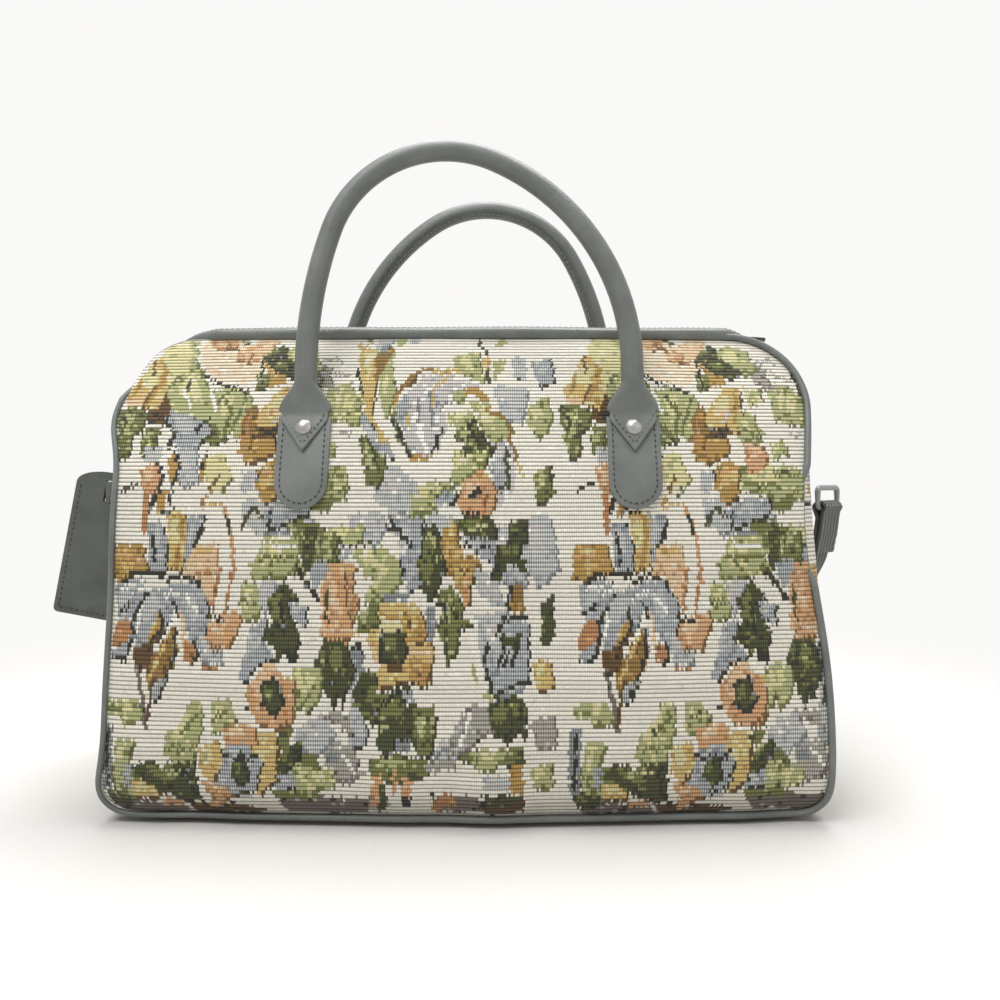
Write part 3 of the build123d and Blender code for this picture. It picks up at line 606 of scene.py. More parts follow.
    ("pale", 0, (13, 247, 34, 245, 30, 221, 18, 227)),
    ("green", 2.4, (21, 206, 23, 182)),
    ("gold", 1.9, (28, 196, 30, 190)),
    ("orange", 0, (-3, 186, 7, 195, 14, 187, 16, 177, 11, 167, 1, 167, -6, 172, -4, 180)),
    ("gold", 2, (3, 189, 10, 189)),
    ("charcoal", 0, (2, 182, 7, 183, 7, 177, 1, 177)),
    ("charcoal", 2, (-9, 171, -5, 179)),
    ("charcoal", 1.9, (-4, 168, 6, 168)),
    ("rust", 1.9, (11, 178, 9, 168)),
    ("green", 0, (-8, 166, 13, 167, 17, 159, 11, 152, 1, 155, -6, 161), (-25, 162, -17, 161, -13, 149, -12, 136, -21,
     132, -30, 135, -26, 149), (23, 164, 33, 165, 32, 154, 21, 151), (16, 151, 29, 152, 27, 141, 16, 145), (12, 140,
     18, 141, 19, 132, 13, 132)),
    ("sage", 1.9, (1, 160, 11, 161), (-21, 158, -17, 145)),
    ("ochre", 0, (-14, 159, -6, 164, -5, 147, 6, 145, 5, 138, -2, 132, -9, 132, -15, 145)),
    ("gold", 2.4, (-9, 161, -9, 147)),
    ("blueGrey", 0, (-5, 155, 16, 154, 15, 143, 7, 145), (-16, 180, -6, 180, -8, 173, -18, 172), (-43, 165, -25, 166,
     -26, 145, -36, 132, -38, 143, -32, 150, -42, 158), (-79, 149, -62, 149, -67, 143, -79, 143)),
    ("charcoal", 2, (-2, 151, 1, 150), (6, 150, 12, 150), (-46, 159, -41, 159)),
    ("olive", 1.9, (-31, 168, -18, 170), (-17, 181, -5, 182)),
    ("charcoal", 2.2, (-44, 166, -36, 156, -30, 150)),
    ("charcoal", 1.9, (-38, 143, -36, 136)),
    ("green", 1.9, (-77, 151, -54, 151)),
    ("sage", 0, (-45, 148, -39, 145, -38, 136, -49, 131, -47, 140)),
    # large gold flower and its leaves
    ("orange", 0, (-79, 143, -62, 142, -63, 127, -59, 124, -60, 116, -66, 105, -66, 98, -78, 100), (-51, 27, -46, 27,
     -47, 7, -54, 6), (-41, 29, -38, 29, -39, 15, -41, 16), (-35, 25, -30, 25, -31, 13, -36, 14)),
    ("gold", 2.5, (-73, 138, -64, 138)),
    ("peach", 2.5, (-70, 104, -60, 104)),
    ("rust", 2.1, (-61, 124, -65, 106)),
    ("green", 0, (-78, 127, -67, 126, -66, 118, -72, 108, -78, 111)),
    ("sage", 0, (-46, 143, -38, 143, -37, 131, -47, 120, -57, 120, -53, 129, -47, 131)),
    ("charcoal", 1.9, (-37, 142, -35, 136)),
    ("blueGrey", 0, (-36, 143, -28, 144, -25, 129, -33, 126)),
    ("steel", 0, (-44, 125, -31, 126, -33, 121, -46, 121)),
    ("green", 0, (-29, 144, -12, 144, -16, 131, -20, 119, -25, 129)),
    ("ochre", 0, (-12, 144, 7, 144, 2, 132, 1, 118, -3, 124, -8, 130)),
    ("orange", 2.5, (-1, 134, 0, 119)),
    ("brown", 2.1, (-5, 139, 1, 137)),
    ("olive", 0, (-17, 126, -7, 128, -3, 120, -3, 112, 3, 108, -6, 107, -5, 99, -11, 85, -12, 94, -17, 106, -14,
     115)),
    ("green", 2.1, (-12, 119, -12, 91)),
    ("charcoal", 1.9, (-16, 121, -5, 112)),
    ("gold", 0, (-51, 118, -40, 121, -27, 119, -23, 110, -18, 91, -21, 76, -29, 76, -32, 79, -48, 73, -49, 82, -46,
     88, -51, 91, -55, 101, -50, 109)),
    ("ochre", 0, (-35, 115, -25, 112, -22, 101, -29, 98, -35, 104), (-31, 91, -19, 87, -23, 76, -31, 78)),
    ("rust", 2.1, (-28, 84, -23, 78)),
    ("peach", 2.5, (-33, 93, -21, 93)),
    ("ochre", 2.5, (-48, 113, -36, 110)),
    ("green", 0, (-48, 102, -35, 105, -33, 98, -35, 89, -47, 88), (-78, 102, -66, 94, -67, 87, -72, 76, -77, 78)),
    ("umber", 0, (-44, 88, -35, 88, -36, 82, -43, 83)),
    ("charcoal", 1.9, (-47, 103, -47, 89)),
    ("peach", 2.3, (-52, 98, -49, 89)),
    ("umber", 1.9, (-33, 111, -31, 106)),
    ("olive", 0, (-61, 113, -50, 120, -49, 110, -56, 104, -60, 105)),
    ("steel", 0, (-23, 118, -17, 115, -18, 98, -22, 99), (-64, 95, -58, 96, -57, 83, -63, 74, -66, 87)),
    ("charcoal", 1.9, (-64, 94, -59, 98, -56, 90)),
    ("green", 0, (-58, 82, -49, 83, -50, 72, -41, 69, -34, 76, -31, 79, -36, 67, -29, 65, -18, 63, -18, 54, -21, 38,
     -27, 38, -31, 48, -40, 47, -41, 40, -45, 37, -50, 43, -47, 59, -53, 54, -63, 64, -61, 74), (14, 144, 22, 144, 20,
     136, 18, 131), (27, 144, 32, 144, 32, 137, 27, 137)),
    ("olive", 0, (-29, 64, -18, 63, -19, 39, -26, 38, -30, 50)),
    ("charcoal", 1.9, (-36, 76, -45, 65, -50, 61)),
    ("sage", 1.9, (-47, 50, -42, 54), (3, 87, 5, 76)),
    ("blueGrey", 0, (-35, 73, -29, 74, -29, 67, -35, 68), (-65, 63, -55, 54, -55, 44, -64, 40, -66, 52), (21, 137, 25,
     139, 24, 128, 21, 128), (18, 110, 33, 110, 33, 78, 22, 75, 16, 70, 11, 83, 12, 93, 16, 98)),
    ("pale", 0, (4, 139, 15, 133, 20, 120, 15, 119, 5, 126), (9, 27, 24, 26, 23, 18, 8, 19)),
    ("umberGold", 0, (24, 129, 31, 130, 31, 113, 22, 116)),
    ("charcoal", 1.9, (24, 129, 22, 116), (20, 95, 16, 83)),
    ("charcoal", 2.5, (32, 112, 19, 111, 16, 103), (12, 97, 9, 91, 10, 83, 13, 74, 16, 68)),
    ("green", 0, (18, 103, 30, 102, 29, 94, 18, 98), (24, 71, 31, 66, 31, 45, 26, 54, 20, 59), (-48, 19, -44, 19, -44,
     3, -49, 3), (6, 15, 22, 16, 31, 13, 22, 7, 15, 8)),
    ("charcoal", 1.9, (27, 95, 24, 85), (22, 93, 20, 85)),
    ("sage", 0, (7, 71, 15, 72, 12, 66), (7, 42, 23, 38, 18, 35, 13, 30, 5, 31)),
    ("greige", 0, (3, 66, 10, 63, 13, 52, 7, 48, -1, 41, -12, 38, -8, 50, -3, 61), (-25, 33, -6, 36, -6, 30, -20,
     28)),
    ("white", 1.9, (1, 60, -4, 43)),
    ("steel", 1.9, (-19, 36, -6, 45)),
    ("charcoal", 0, (-36, 14, -30, 14, -32, 7, -36, 7)),
    ("ochre", 0, (23, 33, 30, 33, 31, 14, 23, 16)),
    ("rust", 0, (-20, 6, -16, 14, -7, 15, -8, 9, -20, 4)),
    ("plum", 0, (-78, 11, -55, 13, -55, 5, -78, 1)),
    ("steel", 0, (-39, 45, -30, 47, -31, 40, -39, 38), (-77, 39, -66, 38, -68, 33, -77, 33)),
    ("greige", 1.9, (-72, 26, -56, 28)),
    # leaves and flower right of the rose
    ("sage", 0, (-110, 273, -102, 278, -93, 276, -87, 259, -96, 255, -104, 258, -109, 265)),
    ("green", 0, (-120, 263, -107, 268, -96, 256, -105, 252, -116, 258), (-91, 161, -83, 160, -85, 144, -91, 131)),
    ("ochre", 0, (-117, 254, -108, 255, -108, 247, -118, 246)),
    ("gold", 0, (-122, 228, -108, 246, -99, 245, -101, 232, -98, 223, -107, 215, -111, 219, -121, 219)),
    ("peach", 2.6, (-116, 228, -109, 230)),
    ("ochre", 3, (-102, 244, -104, 223)),
    ("lilac", 1.9, (-111, 223, -108, 228)),
    ("umber", 0, (-120, 219, -109, 220, -109, 213, -123, 212)),
    ("charcoal", 1.9, (-119, 218, -111, 214)),
    ("ochre", 0, (-129, 215, -122, 214, -126, 205, -129, 207)),
    ("rust", 2, (-126, 228, -128, 209)),
    ("orange", 0, (-102, 211, -92, 210, -87, 200, -94, 192, -100, 192)),
    ("peach", 2.4, (-100, 209, -93, 207)),
    ("sage", 0, (-103, 228, -93, 224, -92, 211, -101, 212), (-94, 243, -85, 246, -88, 238, -94, 238), (-74, 242, -62,
     242, -63, 221, -75, 223), (-86, 200, -79, 209, -80, 202), (-88, 196, -69, 195, -67, 184, -81, 176, -90, 180,
     -104, 182, -105, 190, -93, 192), (-113, 155, -94, 155, -94, 144, -99, 135, -120, 133, -117, 146)),
    ("olive", 1.9, (-102, 219, -93, 214)),
    ("greige", 1.9, (-85, 265, -80, 267, -75, 264), (-79, 256, -68, 251), (-87, 250, -76, 243), (-74, 216, -66, 215)),
    ("olive", 2.2, (-102, 186, -82, 184), (-84, 192, -71, 190), (-115, 144, -96, 145)),
    ("olive", 0, (-89, 178, -72, 177, -78, 169, -89, 170)),
    ("ochre", 0, (-119, 192, -105, 196, -107, 177, -114, 174, -120, 182)),
    ("gold", 2.2, (-117, 187, -107, 187)),
    ("orange", 2.2, (-116, 192, -106, 193)),
    ("charcoal", 1.9, (-120, 192, -119, 187)),
    ("pale", 0, (-128, 192, -119, 193, -121, 181, -127, 179)),
    ("blueGrey", 0, (-114, 170, -100, 177, -88, 177, -89, 168, -101, 164, -111, 159)),
    ("charcoal", 1.9, (-110, 168, -111, 160)),
    ("green", 2.4, (-126, 160, -120, 171, -114, 167)),
    ("white", 1.9, (-113, 151, -96, 150)),
    ("olive", 0, (-101, 163, -90, 165, -91, 159, -101, 159), (-82, 154, -72, 158, -72, 142, -82, 144)),
    ("blueGrey", 0, (-84, 144, -76, 142, -79, 131, -84, 131)),
    # leaves at the foot of the peach flower
    ("orange", 0, (-77, 138, -68, 138, -63, 102, -73, 101, -77, 114, -75, 121)),
    ("peach", 2.5, (-74, 106, -64, 105)),
    ("green", 0, (-76, 97, -68, 100, -61, 85, -69, 65, -72, 76, -77, 85)),
    ("olive", 1.9, (-70, 95, -66, 82)),
    ("sage", 0, (-90, 84, -80, 85, -80, 71, -89, 59, -88, 71), (-87, 30, -73, 29, -73, 19, -86, 17)),
    ("greige", 0, (-80, 59, -70, 61, -61, 57, -63, 48, -70, 54), (-71, 43, -63, 44, -59, 33, -65, 22, -70, 32)),
    ("white", 1.9, (-69, 40, -61, 28)),
    ("pale", 0, (-65, 61, -59, 63, -56, 47, -61, 46)),
    # petals laid over the two pansies
    ("orange", 0, (-120, 74, -112, 84, -101, 82, -94, 73, -96, 59, -104, 52, -115, 55, -120, 65), (-135, 52, -117, 54,
     -114, 43, -132, 41)),
    ("peach", 3, (-116, 74, -111, 81, -103, 79)),
    ("green", 0, (-112, 74, -104, 78, -101, 67, -106, 60, -112, 65)),
    ("charcoal", 2, (-113, 75, -104, 79, -100, 67, -105, 59, -113, 65)),
    ("gold", 0, (-147, 40, -136, 45, -132, 31, -142, 20, -147, 30), (-117, 44, -104, 42, -104, 25, -114, 14, -120,
     27)),
    ("orange", 0, (-143, 23, -127, 15, -136, 9, -144, 15)),
    ("blueGrey", 0, (-132, 41, -119, 43, -112, 33, -116, 18, -129, 13, -135, 27)),
    ("green", 0, (-128, 33, -122, 36, -119, 26, -124, 18, -129, 24)),
    ("charcoal", 2, (-133, 37, -126, 34, -123, 37, -120, 34, -114, 38)),
)
painter = {
    "seed": 11, "start": -207.0, "ribStep": 0.5, "warpStep": 0.7, "mixed": 0.07, "creamMixed": 0.01,
    "edge": (1.2, -1.5), "leastEdged": 9.0, "lit": 0.45, "litShift": (-0.1, 0.12),
    "ribTone": (0.96, 1.1), "groundShade": 0.5, "baseShade": 0.6, "baseShadeHeight": 20.0,
}
# the darker yarn that outlines a large shape, low and to its right
edgeYarns = {"blueGrey": "charcoal", "pale": "steel", "steel": "charcoal", "gold": "umber", "ochre": "umber",
             "orange": "brown", "peach": "rust", "straw": "olive", "sage": "olive", "olive": "green",
             "green": "charcoal", "greige": "plum"}
# the lighter yarn in its middle
litYarns = {"sage": "straw", "olive": "sage", "green": "olive", "gold": "straw", "ochre": "gold",
            "orange": "peach", "blueGrey": "pale", "steel": "blueGrey", "pale": "lilac"}


clothUnit = 100  # mm of cloth to one unit of its UV map


def insideShape(x, y, spots, width):
    if width:
        reach = np.full(len(x), 1e6)
        for a, b in zip(spots, spots[1:]):
            run = b - a
            share = np.clip(((x - a[0]) * run[0] + (y - a[1]) * run[1]) / max(run @ run, 1e-9), 0, 1)
            reach = np.minimum(reach, np.hypot(x - a[0] - share * run[0], y - a[1] - share * run[1]))
        return reach < width / 2
    inside = np.zeros(len(x), bool)
    for a, b in zip(spots, np.roll(spots, -1, axis=0)):
        crossed = (a[1] > y) != (b[1] > y)
        inside ^= crossed & (x < (b[0] - a[0]) * (y - a[1]) / (b[1] - a[1] + 1e-9) + a[0])
    return inside


def shapeLayers(yarn, width, spots):
    size = np.ptp(spots, axis=0)
    if width or size.min() <= painter["leastEdged"]:
        return [(yarn, spots)]
    middle = spots.mean(0)
    lit = middle + (spots - middle) * painter["lit"] + size * painter["litShift"]
    return [(edgeYarns.get(yarn, yarn), spots + painter["edge"]), (yarn, spots), (litYarns.get(yarn, yarn), lit)]


def paintTapestry(x, y):
    # the yarn of each cell, as the loom would lay it: edges step from rib to rib; painted shade darkens the ground
    # between the ribs and the cloth towards the base
    draws = np.random.default_rng(painter["seed"])
    ribs = np.floor(y / bagShape["rib"]).astype(int)
    warps = np.floor(x / bagShape["warp"]).astype(int)
    repeat, start = bagShape["repeat"], painter["start"]
    px = (x + draws.normal(0, painter["ribStep"], 512)[ribs % 512] - start) % repeat + start
    y = y + draws.normal(0, painter["warpStep"], 512)[warps % 512]
    names = list(yarns)
    owner = np.zeros(len(x), int)
    for yarn, width, *shapes in motifs:
        for points, offset in [(points, offset) for points in shapes for offset in (-repeat, 0, repeat)]:
            spots = np.reshape(points, (-1, 2)) + (offset, 0.0)
            for layer, places in shapeLayers(yarn, width, spots):
                low, high = places.min(0) - width / 2, places.max(0) + width / 2
                near = np.flatnonzero((px > low[0]) & (px < high[0]) & (y > low[1]) & (y < high[1]))
                if len(near):
                    owner[near[insideShape(px[near], y[near], places, width)]] = names.index(layer)
    mixed = draws.random((256, 256))[ribs % 256, warps // 2 % 256]
    share = np.where(owner == 0, painter["creamMixed"], painter["mixed"])
    first, second = (np.array([names.index(yarns[name][k]) for name in names]) for k in (3, 4))
    owner = np.where(mixed < share, first[owner], np.where(mixed > 1 - share, second[owner], owner))
    rib, ground = (np.array([hexColour(yarns[name][k]) for name in names])[owner] for k in (0, 1))
    rib[:, :3] *= draws.uniform(*painter["ribTone"], 512)[ribs % 512][:, None]
    # painted shade: the ground between the ribs darkened by half
    ground[:, :3] *= painter["groundShade"]
    # painted shade: the cloth darker towards the base
    tone = painter["baseShade"] + (1 - painter["baseShade"]) * np.clip(y / painter["baseShadeHeight"], 0, 1)
    rib[:, :3] *= tone[:, None]
    return rib, ground, np.array([yarns[name][2] for name in names])[owner]


def layFlat(piece, across, along, unit):
    # the UV map: distances across and along the cloth, in units of so many mm
    corners = np.empty(len(piece.data.loops), np.int32)
    piece.data.loops.foreach_get("vertex_index", corners)
    layer = piece.data.uv_layers.active
    layer.name = "weave"
    layer.data.foreach_set("uv", (np.column_stack([across, along])[corners] / unit).ravel())
    return corners


def weaveCloth(piece, across, along):
    # the flat map and the colour of each face: woven yarn with painted shade
    mesh = piece.data
    cells = layFlat(piece, across, along, clothUnit).reshape(-1, 4)
    cellX = across[cells].mean(1)
    cellY = (np.floor(along[cells].mean(1) / bagShape["rib"]) + 0.5) * bagShape["rib"]
    rib, ground, checks = paintTapestry(cellX, cellY)
    # rib and ground colours of each face, with their painted shade
    for label, colours in (("ribYarnAndShade", rib), ("groundYarnAndShade", ground)):
        paint = mesh.color_attributes.new(label, "FLOAT_COLOR", "CORNER")
        paint.data.foreach_set("color", np.repeat(colours, 4, axis=0).ravel())
    grid = mesh.attributes.new("checked", "FLOAT", "CORNER")
    grid.data.foreach_set("value", np.repeat(checks, 4))


def tapestryMaterial():
    # ribbed tapestry: soft matt yarn in rows, a dark warp thread showing between the ribs, with painted shade in the
    # gaps
    material, tree, shader = newMaterial("wovenTapestry", {"Roughness": 0.9, "Sheen Weight": 0.12})
    uv = addNode(tree, "UVMap", {"uv_map": "weave"})
    split = addNode(tree, "SeparateXYZ", {}, {0: uv.outputs[0]})
    ribYarnAndShade = addNode(tree, "Attribute", {"attribute_name": "ribYarnAndShade"})
    groundYarnAndShade = addNode(tree, "Attribute", {"attribute_name": "groundYarnAndShade"})
    checked = addNode(tree, "Attribute", {"attribute_name": "checked"})
    ribs = addNode(tree, "Math", {"operation": "MULTIPLY", 1: clothUnit / bagShape["rib"]}, {0: split.outputs[1]})
    ribPart = addNode(tree, "Math", {"operation": "FRACT"}, {0: ribs.outputs[0]})
    ribOff = addNode(tree, "Math", {"operation": "SUBTRACT", 1: 0.5}, {0: ribPart.outputs[0]})
    ribSide = addNode(tree, "Math", {"operation": "ABSOLUTE"}, {0: ribOff.outputs[0]})
    ribGap = addNode(tree, "Math", {"operation": "MULTIPLY_ADD", 1: 0.15},
                     {0: checked.outputs["Fac"], 2: ribSide.outputs[0]})
    # painted shade in the gaps between the ribs, darkest where the warp thread shows
    valley = addNode(tree, "MapRange", {"interpolation_type": "SMOOTHSTEP", "From Min": 0.24, "From Max": 0.44},
                     {"Value": ribGap.outputs[0]})
    warps = addNode(tree, "Math", {"operation": "MULTIPLY", 1: clothUnit / bagShape["warp"]}, {0: split.outputs[0]})
    warpPart = addNode(tree, "Math", {"operation": "PINGPONG", 1: 0.5}, {0: warps.outputs[0]})
    warpLine = addNode(tree, "MapRange", {"interpolation_type": "SMOOTHSTEP", "From Min": 0.26, "From Max": 0.06},
                       {"Value": warpPart.outputs[0]})
    dots = addNode(tree, "MapRange", {"To Min": 0.45, "To Max": 1.0}, {"Value": warpLine.outputs[0]})
    ribDark = addNode(tree, "Math", {"operation": "MULTIPLY"}, {0: valley.outputs[0], 1: dots.outputs[0]})
    gridShare = addNode(tree, "MapRange", {"To Min": 0.0, "To Max": 0.85}, {"Value": checked.outputs["Fac"]})
    gridLine = addNode(tree, "Math", {"operation": "MULTIPLY"}, {0: warpLine.outputs[0], 1: gridShare.outputs[0]})
    dark = addNode(tree, "Math", {"operation": "MAXIMUM"}, {0: ribDark.outputs[0], 1: gridLine.outputs[0]})
    place = addNode(tree, "TexCoord")
    yarn = addNode(tree, "TexNoise", {"Scale": 1000 / 1.1, "Detail": 2.0}, {"Vector": place.outputs["Object"]})
    yarnTone = addNode(tree, "MapRange", {"From Min": 0.3, "From Max": 0.7, "To Min": 0.84, "To Max": 1.06},
                       {"Value": yarn.outputs["Fac"]})
    toned = addNode(tree, "VectorMath", {"operation": "SCALE"},
                    {0: ribYarnAndShade.outputs["Color"], "Scale": yarnTone.outputs[0]})
    woven = addNode(tree, "MixRGB", {}, {0: dark.outputs[0], 1: toned.outputs[0], 2: groundYarnAndShade.outputs["Color"]})
    tree.links.new(woven.outputs[0], shader.inputs["Base Color"])
    crest = addNode(tree, "MapRange", {"interpolation_type": "SMOOTHSTEP", "From Min": 0.5, "From Max": 0.1},
                    {"Value": ribSide.outputs[0]})
    fluff = addNode(tree, "Math", {"operation": "MULTIPLY_ADD", 1: 0.25},
                    {0: yarn.outputs["Fac"], 2: crest.outputs[0]})
    bump = addNode(tree, "Bump", {"Strength": 0.7, "Distance": 0.0006}, {"Height": fluff.outputs[0]})
    tree.links.new(bump.outputs[0], shader.inputs["Normal"])
    return material


def vinylMaterial(name, tone, dark, roughness, grain=0.9):
    # calendered vinyl: satin skin with a fine pebbled grain (grain in mm) and slightly rubbed tone
    material, tree, shader = newMaterial(name, {"Roughness": roughness, "Specular IOR Level": 0.45})
    place = addNode(tree, "TexCoord")
    cloud = addNode(tree, "TexNoise", {"Scale": 1000 / 22, "Detail": 4.0, "Roughness": 0.6},
                    {"Vector": place.outputs["Object"]})
    ramp = addNode(tree, "ValToRGB", {}, {"Fac": cloud.outputs["Fac"]})
    ramp.color_ramp.elements[0].position = 0.32
    ramp.color_ramp.elements[0].color = hexColour(dark)
    ramp.color_ramp.elements[1].position = 0.68
    ramp.color_ramp.elements[1].color = hexColour(tone)
    tree.links.new(ramp.outputs[0], shader.inputs["Base Color"])
    pebble = addNode(tree, "TexVoronoi", {"feature": "DISTANCE_TO_EDGE", "Scale": 1000 / grain},
                     {"Vector": place.outputs["Object"]})
    crease = addNode(tree, "MapRange", {"From Min": 0.0, "From Max": 0.22}, {"Value": pebble.outputs["Distance"]})
    bump = addNode(tree, "Bump", {"Strength": 0.28, "Distance": 0.00015}, {"Height": crease.outputs[0]})
    tree.links.new(bump.outputs[0], shader.inputs["Normal"])
    polish = addNode(tree, "MapRange", {"To Min": roughness - 0.08, "To Max": roughness + 0.1},
                     {"Value": cloud.outputs["Fac"]})
    tree.links.new(polish.outputs[0], shader.inputs["Roughness"])
    return material


def threadMaterial(name, tone):
    # twisted sewing thread: matt, slightly uneven
    material, tree, shader = newMaterial(name, {"Roughness": 0.75, "Sheen Weight": 0.2})
    place = addNode(tree, "TexCoord")
    twist = addNode(tree, "TexWave", {"Scale": 1000 / 1.2, "Distortion": 2.0}, {"Vector": place.outputs["Object"]})
    ramp = addNode(tree, "ValToRGB", {}, {"Fac": twist.outputs["Fac"]})
    base = hexColour(tone)
    ramp.color_ramp.elements[0].color = [c * 0.7 for c in base[:3]] + [1]
    ramp.color_ramp.elements[1].color = base
    tree.links.new(ramp.outputs[0], shader.inputs["Base Color"])
    return material


def webbingMaterial():
    # polyester webbing: thick vertical ribs with slanted yarns, matt grey
    material, tree, shader = newMaterial("wovenWebbing", {"Roughness": 0.8, "Sheen Weight": 0.15})
    uv = addNode(tree, "UVMap", {"uv_map": "weave"})
    split = addNode(tree, "SeparateXYZ", {}, {0: uv.outputs[0]})
    ribs = addNode(tree, "Math", {"operation": "MULTIPLY", 1: 1000 / 25 * 6}, {0: split.outputs[0]})
    ribPart = addNode(tree, "Math", {"operation": "PINGPONG", 1: 0.5}, {0: ribs.outputs[0]})
    lift = addNode(tree, "Math", {"operation": "MULTIPLY", 1: 1.6}, {0: ribPart.outputs[0]})
    rows = addNode(tree, "Math", {"operation": "MULTIPLY_ADD", 1: 1000 / 1.6},
                   {0: split.outputs[1], 2: lift.outputs[0]})
    rowPart = addNode(tree, "Math", {"operation": "PINGPONG", 1: 0.5}, {0: rows.outputs[0]})
    yarn = addNode(tree, "Math", {"operation": "MULTIPLY"}, {0: rowPart.outputs[0], 1: ribPart.outputs[0]})
    ramp = addNode(tree, "ValToRGB", {}, {"Fac": yarn.outputs[0]})
    ramp.color_ramp.elements[0].color = hexColour("#3E413F")
    ramp.color_ramp.elements[0].position = 0.0
    ramp.color_ramp.elements[1].color = hexColour("#858986")
    ramp.color_ramp.elements[1].position = 0.2
    tree.links.new(ramp.outputs[0], shader.inputs["Base Color"])
    height = addNode(tree, "Math", {"operation": "MULTIPLY_ADD", 1: 1.5},
                     {0: ribPart.outputs[0], 2: yarn.outputs[0]})
    bump = addNode(tree, "Bump", {"Strength": 0.7, "Distance": 0.0006}, {"Height": height.outputs[0]})
    tree.links.new(bump.outputs[0], shader.inputs["Normal"])
    return material


def tapeMaterial():
    # zip tape: fine dark herringbone twill
    material, tree, shader = newMaterial("wovenZipTape", {"Roughness": 0.85})
    place = addNode(tree, "TexCoord")
    twill = addNode(tree, "TexWave", {"bands_direction": "DIAGONAL", "Scale": 1000 / 2.4, "Distortion": 0.6},
                    {"Vector": place.outputs["Object"]})
    ramp = addNode(tree, "ValToRGB", {}, {"Fac": twill.outputs["Fac"]})
    ramp.color_ramp.elements[0].color = hexColour("#2E302F")
    ramp.color_ramp.elements[1].color = hexColour("#4B4E4C")
    tree.links.new(ramp.outputs[0], shader.inputs["Base Color"])
    bump = addNode(tree, "Bump", {"Strength": 0.4, "Distance": 0.0002}, {"Height": twill.outputs["Fac"]})
    tree.links.new(bump.outputs[0], shader.inputs["Normal"])
    return material


def metalMaterial(name, tone, roughness, metallic=1.0):
    # plated metal: bright, with faint handling marks in the gloss
    material, tree, shader = newMaterial(name, {"Metallic": metallic, "Roughness": roughness})
    place = addNode(tree, "TexCoord")
    marks = addNode(tree, "TexNoise", {"Scale": 1000 / 1.6, "Detail": 3.0}, {"Vector": place.outputs["Object"]})
    ramp = addNode(tree, "ValToRGB", {}, {"Fac": marks.outputs["Fac"]})
    base = hexColour(tone)
    ramp.color_ramp.elements[0].color = [c * 0.82 for c in base[:3]] + [1]
    ramp.color_ramp.elements[1].color = base
    tree.links.new(ramp.outputs[0], shader.inputs["Base Color"])
    gloss = addNode(tree, "MapRange", {"To Min": roughness - 0.06, "To Max": roughness + 0.1},
                    {"Value": marks.outputs["Fac"]})
    tree.links.new(gloss.outputs[0], shader.inputs["Roughness"])
    return material


def plainMaterial(name, tone, dark, roughness, spot):
    # moulded or pressed stuff with a slight mottle, spot in mm
    material, tree, shader = newMaterial(name, {"Roughness": roughness})
    place = addNode(tree, "TexCoord")
    mottle = addNode(tree, "TexNoise", {"Scale": 1000 / spot, "Detail": 3.0}, {"Vector": place.outputs["Object"]})
    ramp = addNode(tree, "ValToRGB", {}, {"Fac": mottle.outputs["Fac"]})
    ramp.color_ramp.elements[0].color = hexColour(dark)
    ramp.color_ramp.elements[1].color = hexColour(tone)
    tree.links.new(ramp.outputs[0], shader.inputs["Base Color"])
    bump = addNode(tree, "Bump", {"Strength": 0.15, "Distance": 0.0001}, {"Height": mottle.outputs["Fac"]})
    tree.links.new(bump.outputs[0], shader.inputs["Normal"])
    return material


tapestry = tapestryMaterial()
greyVinyl = vinylMaterial("greyVinyl", "#747875", "#636763", 0.36)
tagVinyl = vinylMaterial("tagVinyl", "#5F635F", "#4E524E", 0.5)
greyThread = threadMaterial("greyThread", "#8E9290")
darkThread = threadMaterial("darkThread", "#3A3D3B")
webbing = webbingMaterial()
zipTape = tapeMaterial()
nickel = metalMaterial("nickelRivet", "#A9A8A3", 0.34)
zipMetal = metalMaterial("enamelledZip", "#4A4C4C", 0.4)
zipNylon = plainMaterial("nylonTeeth", "#454847", "#333635", 0.4, 1.2)
ringPlastic = plainMaterial("mouldedRing", "#9A9E9C", "#888C8A", 0.35, 3.0)
foam = plainMaterial("foamCord", "#8C8A84", "#75736E", 0.9, 1.5)
hardboard = plainMaterial("hardboard", "#8B6A48", "#6F5236", 0.8, 2.0)
print("materials made")

# tapestry panels, gussets and base

panelCloth = {"columns": 340, "rowsPerRib": 2, "ribRise": 0.35, "crestShare": 0.25, "backShift": 97.0}


def panelPiece(name, node, back):
    rows = panelCloth["rowsPerRib"] * round(clothLength / bagShape["rib"])
    kept = {}

    def place(u, v):
        along = (v + 1) / 2 * clothLength
        z = np.interp(along, lengthTable, heightTable)
        x = u * seamWidth(np.sign(u), z)
        kept["across"], kept["along"] = x, along
        crest = np.abs(along / bagShape["rib"] % 1 - 0.5) < panelCloth["crestShare"]
        y = panelFace(x, z) - panelCloth["ribRise"] * crest
        return (x, -y if back else y, z)

    piece = gridPiece(name, panelCloth["columns"], rows, place, turn=back)
    weaveCloth(piece, panelCloth["backShift"] - kept["across"] if back else kept["across"], kept["along"])
    return dress(piece, tapestry, "bag", [node])


panelPiece("frontCloth", "front_panel", False)
panelPiece("backCloth", "back_panel", True)

# right and left: rise, height and spread of the bulge, and where in the pattern the cloth is cut
gussetCloth = {"columns": 112, "right": (8.0, 160.0, 55.0, 140.0), "left": (7.0, 130.0, 42.0, 30.0),
               "rest": 2.5, "edgeRise": 1.2, "inset": 0.6, "fade": 60.0, "crease": 0.8, "creaseLength": 13.0}
gussetLength = (shoulderRadius + footRadius) * math.pi / 2 + seamTop - seamBase - shoulderRadius - footRadius


